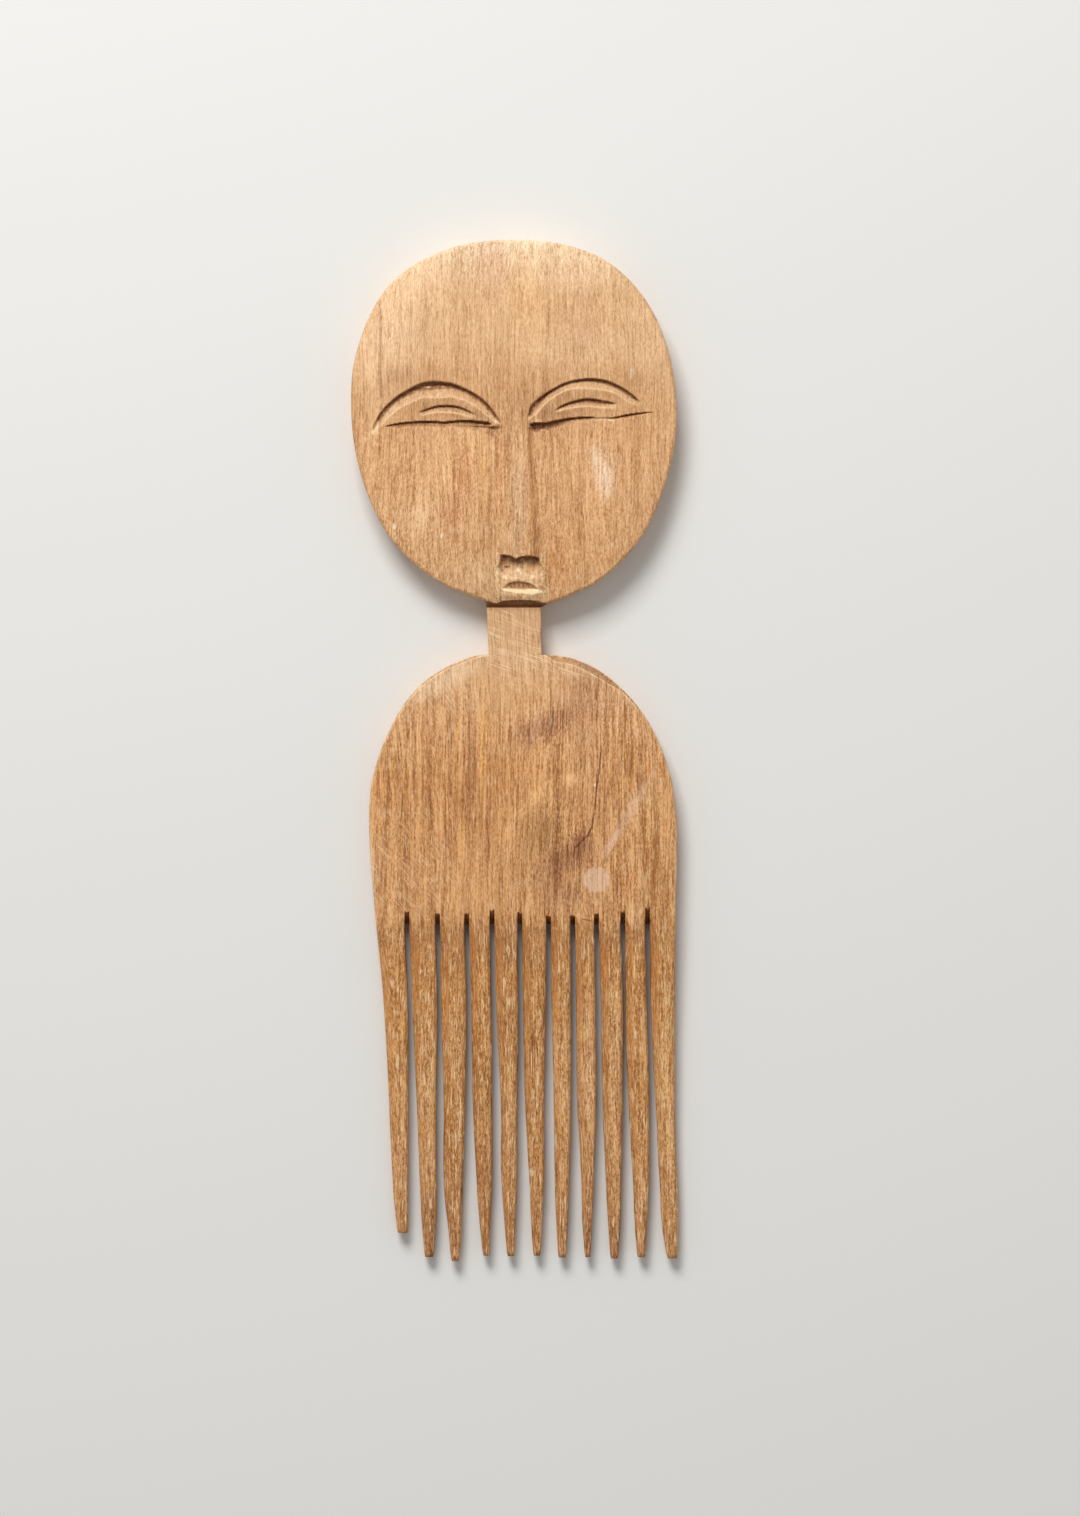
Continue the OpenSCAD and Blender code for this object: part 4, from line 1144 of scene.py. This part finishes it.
# Marks of the teeth: a pale splinter, pale and dark specks, paler stretches
TOOTH_MARKS = [
    ((4.3, -103.2, 0.5, 0.9, 10, 0.4), (252, 236, 196), 0.95),
    ((-12.2, -93.5, 0.3, 0.3, 0, 0.4), (250, 232, 196), 0.9),
    ((-28.2, -93.8, 0.25, 0.4, 0, 0.4), (96, 60, 34), 0.7),
    ((-21.5, -82.5, 1.6, 4), (222, 180, 124), 0.5), ((-1.2, -97, 1.6, 10), (214, 164, 112), 0.3),
    ((4.7, -92, 0.35, 15, -4, 0.8), (236, 194, 144), 0.4),
    ((-13.6, -85, 0.8, 16), (216, 168, 116), 0.4), ((12, -98, 0.5, 12), (226, 182, 130), 0.2),
    ((31, -100, 1.2, 10), (216, 160, 98), 0.4), ((25, -84, 0.8, 14), (214, 164, 112), 0.4), ROOT_MARK,
    ((30, -44, 4, 5, 0, 0.8), (170, 112, 64), 0.35),
    ((-21.6, -88, 2.8, 22, -1, 0.9), (226, 176, 120), 0.35),
    ((17.7, -80, 2.6, 16), (228, 180, 130), 0.42), ((24, -86, 2.6, 26), (224, 174, 118), 0.3),
    ((37.3, -92, 3, 32, 2, 0.9), (228, 180, 120), 0.42),
    ((-28.2, -100, 2.6, 22, -2, 0.9), (224, 174, 122), 0.25),
    ((30, -66, 2.8, 9), (226, 176, 118), 0.15), ((-1.4, -85, 2.4, 7), (226, 180, 126), 0.35),
    ((11.6, -78, 2.5, 13), (228, 180, 126), 0.35), ((-7.4, -86, 2.4, 6), (166, 114, 66), 0.3),
    ((-7, -102, 2.2, 6), (166, 114, 66), 0.25), ((-20.9, -120, 2.4, 6), (150, 98, 58), 0.4),
    ((18, -120, 2.4, 6), (146, 94, 56), 0.55), ((24.5, -120, 2.4, 6), (146, 94, 56), 0.55),
    ((-30.6, -54, 2.6, 7), (172, 118, 70), 0.3), ((5, -66, 2.8, 26), (172, 118, 68), 0.3),
    ((-17.5, -111, 6.5, 4), (158, 106, 62), 0.3), ((31, -110, 2.4, 5), (228, 178, 122), 0.3),
    ((-15, -54, 3, 4), (168, 114, 66), 0.3), ((-14.9, -71, 3, 6), (228, 178, 122), 0.28),
    ((-1.8, -66, 2.8, 8), (168, 114, 66), 0.3), ((11.6, -57, 2.8, 6), (168, 114, 66), 0.3),
    ((17.5, -61, 2.8, 5), (168, 114, 66), 0.3), ((23.6, -66, 2.8, 8), (228, 180, 120), 0.3),
    ((-21.3, -111, 2.4, 4), (150, 98, 54), 0.28),
]
# Weights of each kind of grain, and the places where all of it is stronger or weaker
HEAD_WEIGHTS = (1.8, 1.4, 0.8, 0.5, 0.45, 0.3)
PLATE_WEIGHTS = (2.1, 1.95, 1.4, 0.5, 0.6, 0.3)
TOOTH_WEIGHTS = (3.8, 2.2, 1.2, 0.4, 0.75, 0.6)
FACE_LIVELY = [
    ((0, 104, 60, 20, 0, 0.5), -0.2), ((-18, 62, 18, 18, 0, 0.8), 0.3),
    ((16, 56, 16, 20, 0, 0.8), 0.15),
]
TOOTH_LIVELY = [((2, -41, 60, 8, 0, 0.7), -0.35)]
PLATE_LIVELY = [
    ((21, -14, 16, 34, 0, 0.8), 0.5), ((-22, -8, 12, 28, 0, 0.8), 0.2),
    ((0.3, 30.5, 14, 7, 0, 0.5), -0.62), ((2, 18, 24, 6, 0, 0.8), -0.4),
]


# Stage, in metres: floor, lamp and camera
FLOOR_HALF = 3
FLOOR_DOWN = 0.05 * MM
FLOOR_TONE = (225, 224, 220)
WORLD_LIGHT = 0.42
LAMP_PLACE = (-0.3, 0.95, 1)
LAMP_SIZE = 0.6
LAMP_WATTS = 17
VIEW_HIGH = 0.3704
VIEW_MIDDLE = (0.00635, -0.00165, 0.009)
CAMERA_AWAY = 1.6


def make_stage():
    sides = [(-1, -1), (1, -1), (1, 1), (-1, 1)]
    corners = [(x * FLOOR_HALF / MM, y * FLOOR_HALF / MM, -FLOOR_DOWN / MM) for x, y in sides]
    floor = solid("floor", corners, [(0, 1, 2, 3)])
    finish = Finish("pale_floor")
    floor.data.materials.append(finish.shaded({"Base Color": tone(*FLOOR_TONE), "Roughness": 0.8}))


def make_lamps():
    world = bpy.data.worlds.new("studio")
    bpy.context.scene.world = world
    world.use_nodes = True
    sky = world.node_tree.nodes["Background"].inputs
    sky["Color"].default_value = (1, 1, 1, 1)
    sky["Strength"].default_value = WORLD_LIGHT
    lamp = bpy.data.lights.new("key", "AREA")
    lamp.size = LAMP_SIZE
    lamp.energy = LAMP_WATTS
    key = put("key", lamp)
    key.location = LAMP_PLACE
    key.rotation_euler = (-key.location).to_track_quat("-Z", "Y").to_euler()


def make_camera():
    data = bpy.data.cameras.new("camera")
    data.sensor_fit = "VERTICAL"
    data.angle = 2 * np.arctan(VIEW_HIGH / 2 / CAMERA_AWAY)
    camera = put("camera", data)
    x, y, z = VIEW_MIDDLE
    camera.location = (x, y, z + CAMERA_AWAY)
    bpy.context.scene.camera = camera


make_camera()
make_stage()
make_lamps()
face_wood = wood("face_wood", HEAD_WEIGHTS, FACE_MARKS, relief=0.05, lively=FACE_LIVELY, rubbed=FACE_RUBBED)
plate_wood = wood(
    "plate_wood", PLATE_WEIGHTS, PLATE_MARKS, relief=0.05, scratches=PLATE_SCRATCHES,
    lively=PLATE_LIVELY, rubbed=PLATE_RUBBED,
)
tooth_wood = wood(
    "tooth_wood", TOOTH_WEIGHTS, TOOTH_MARKS, relief=0.08, bare=(FACET_TONE, 0.5), lively=TOOTH_LIVELY
)

pieces = [
    (make_head(face_wood), "head", "face_wood"),
    (make_neck(plate_wood), "neck", "plate_wood"),
    (make_plate(plate_wood), "shoulder_plate", "plate_wood"),
]
pieces += [(make_tooth(i, node, tooth_wood), node, "tooth_wood") for i, node in enumerate(TOOTH_NODES)]
for piece, node, slot in pieces:
    sharp = PLATE_SHARP if node == "shoulder_plate" else CARVED_SHARP
    piece.data.set_sharp_from_angle(angle=radians(sharp))
    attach(piece, "root")
    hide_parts(node)

bpy.context.scene.view_settings.view_transform = "Standard"
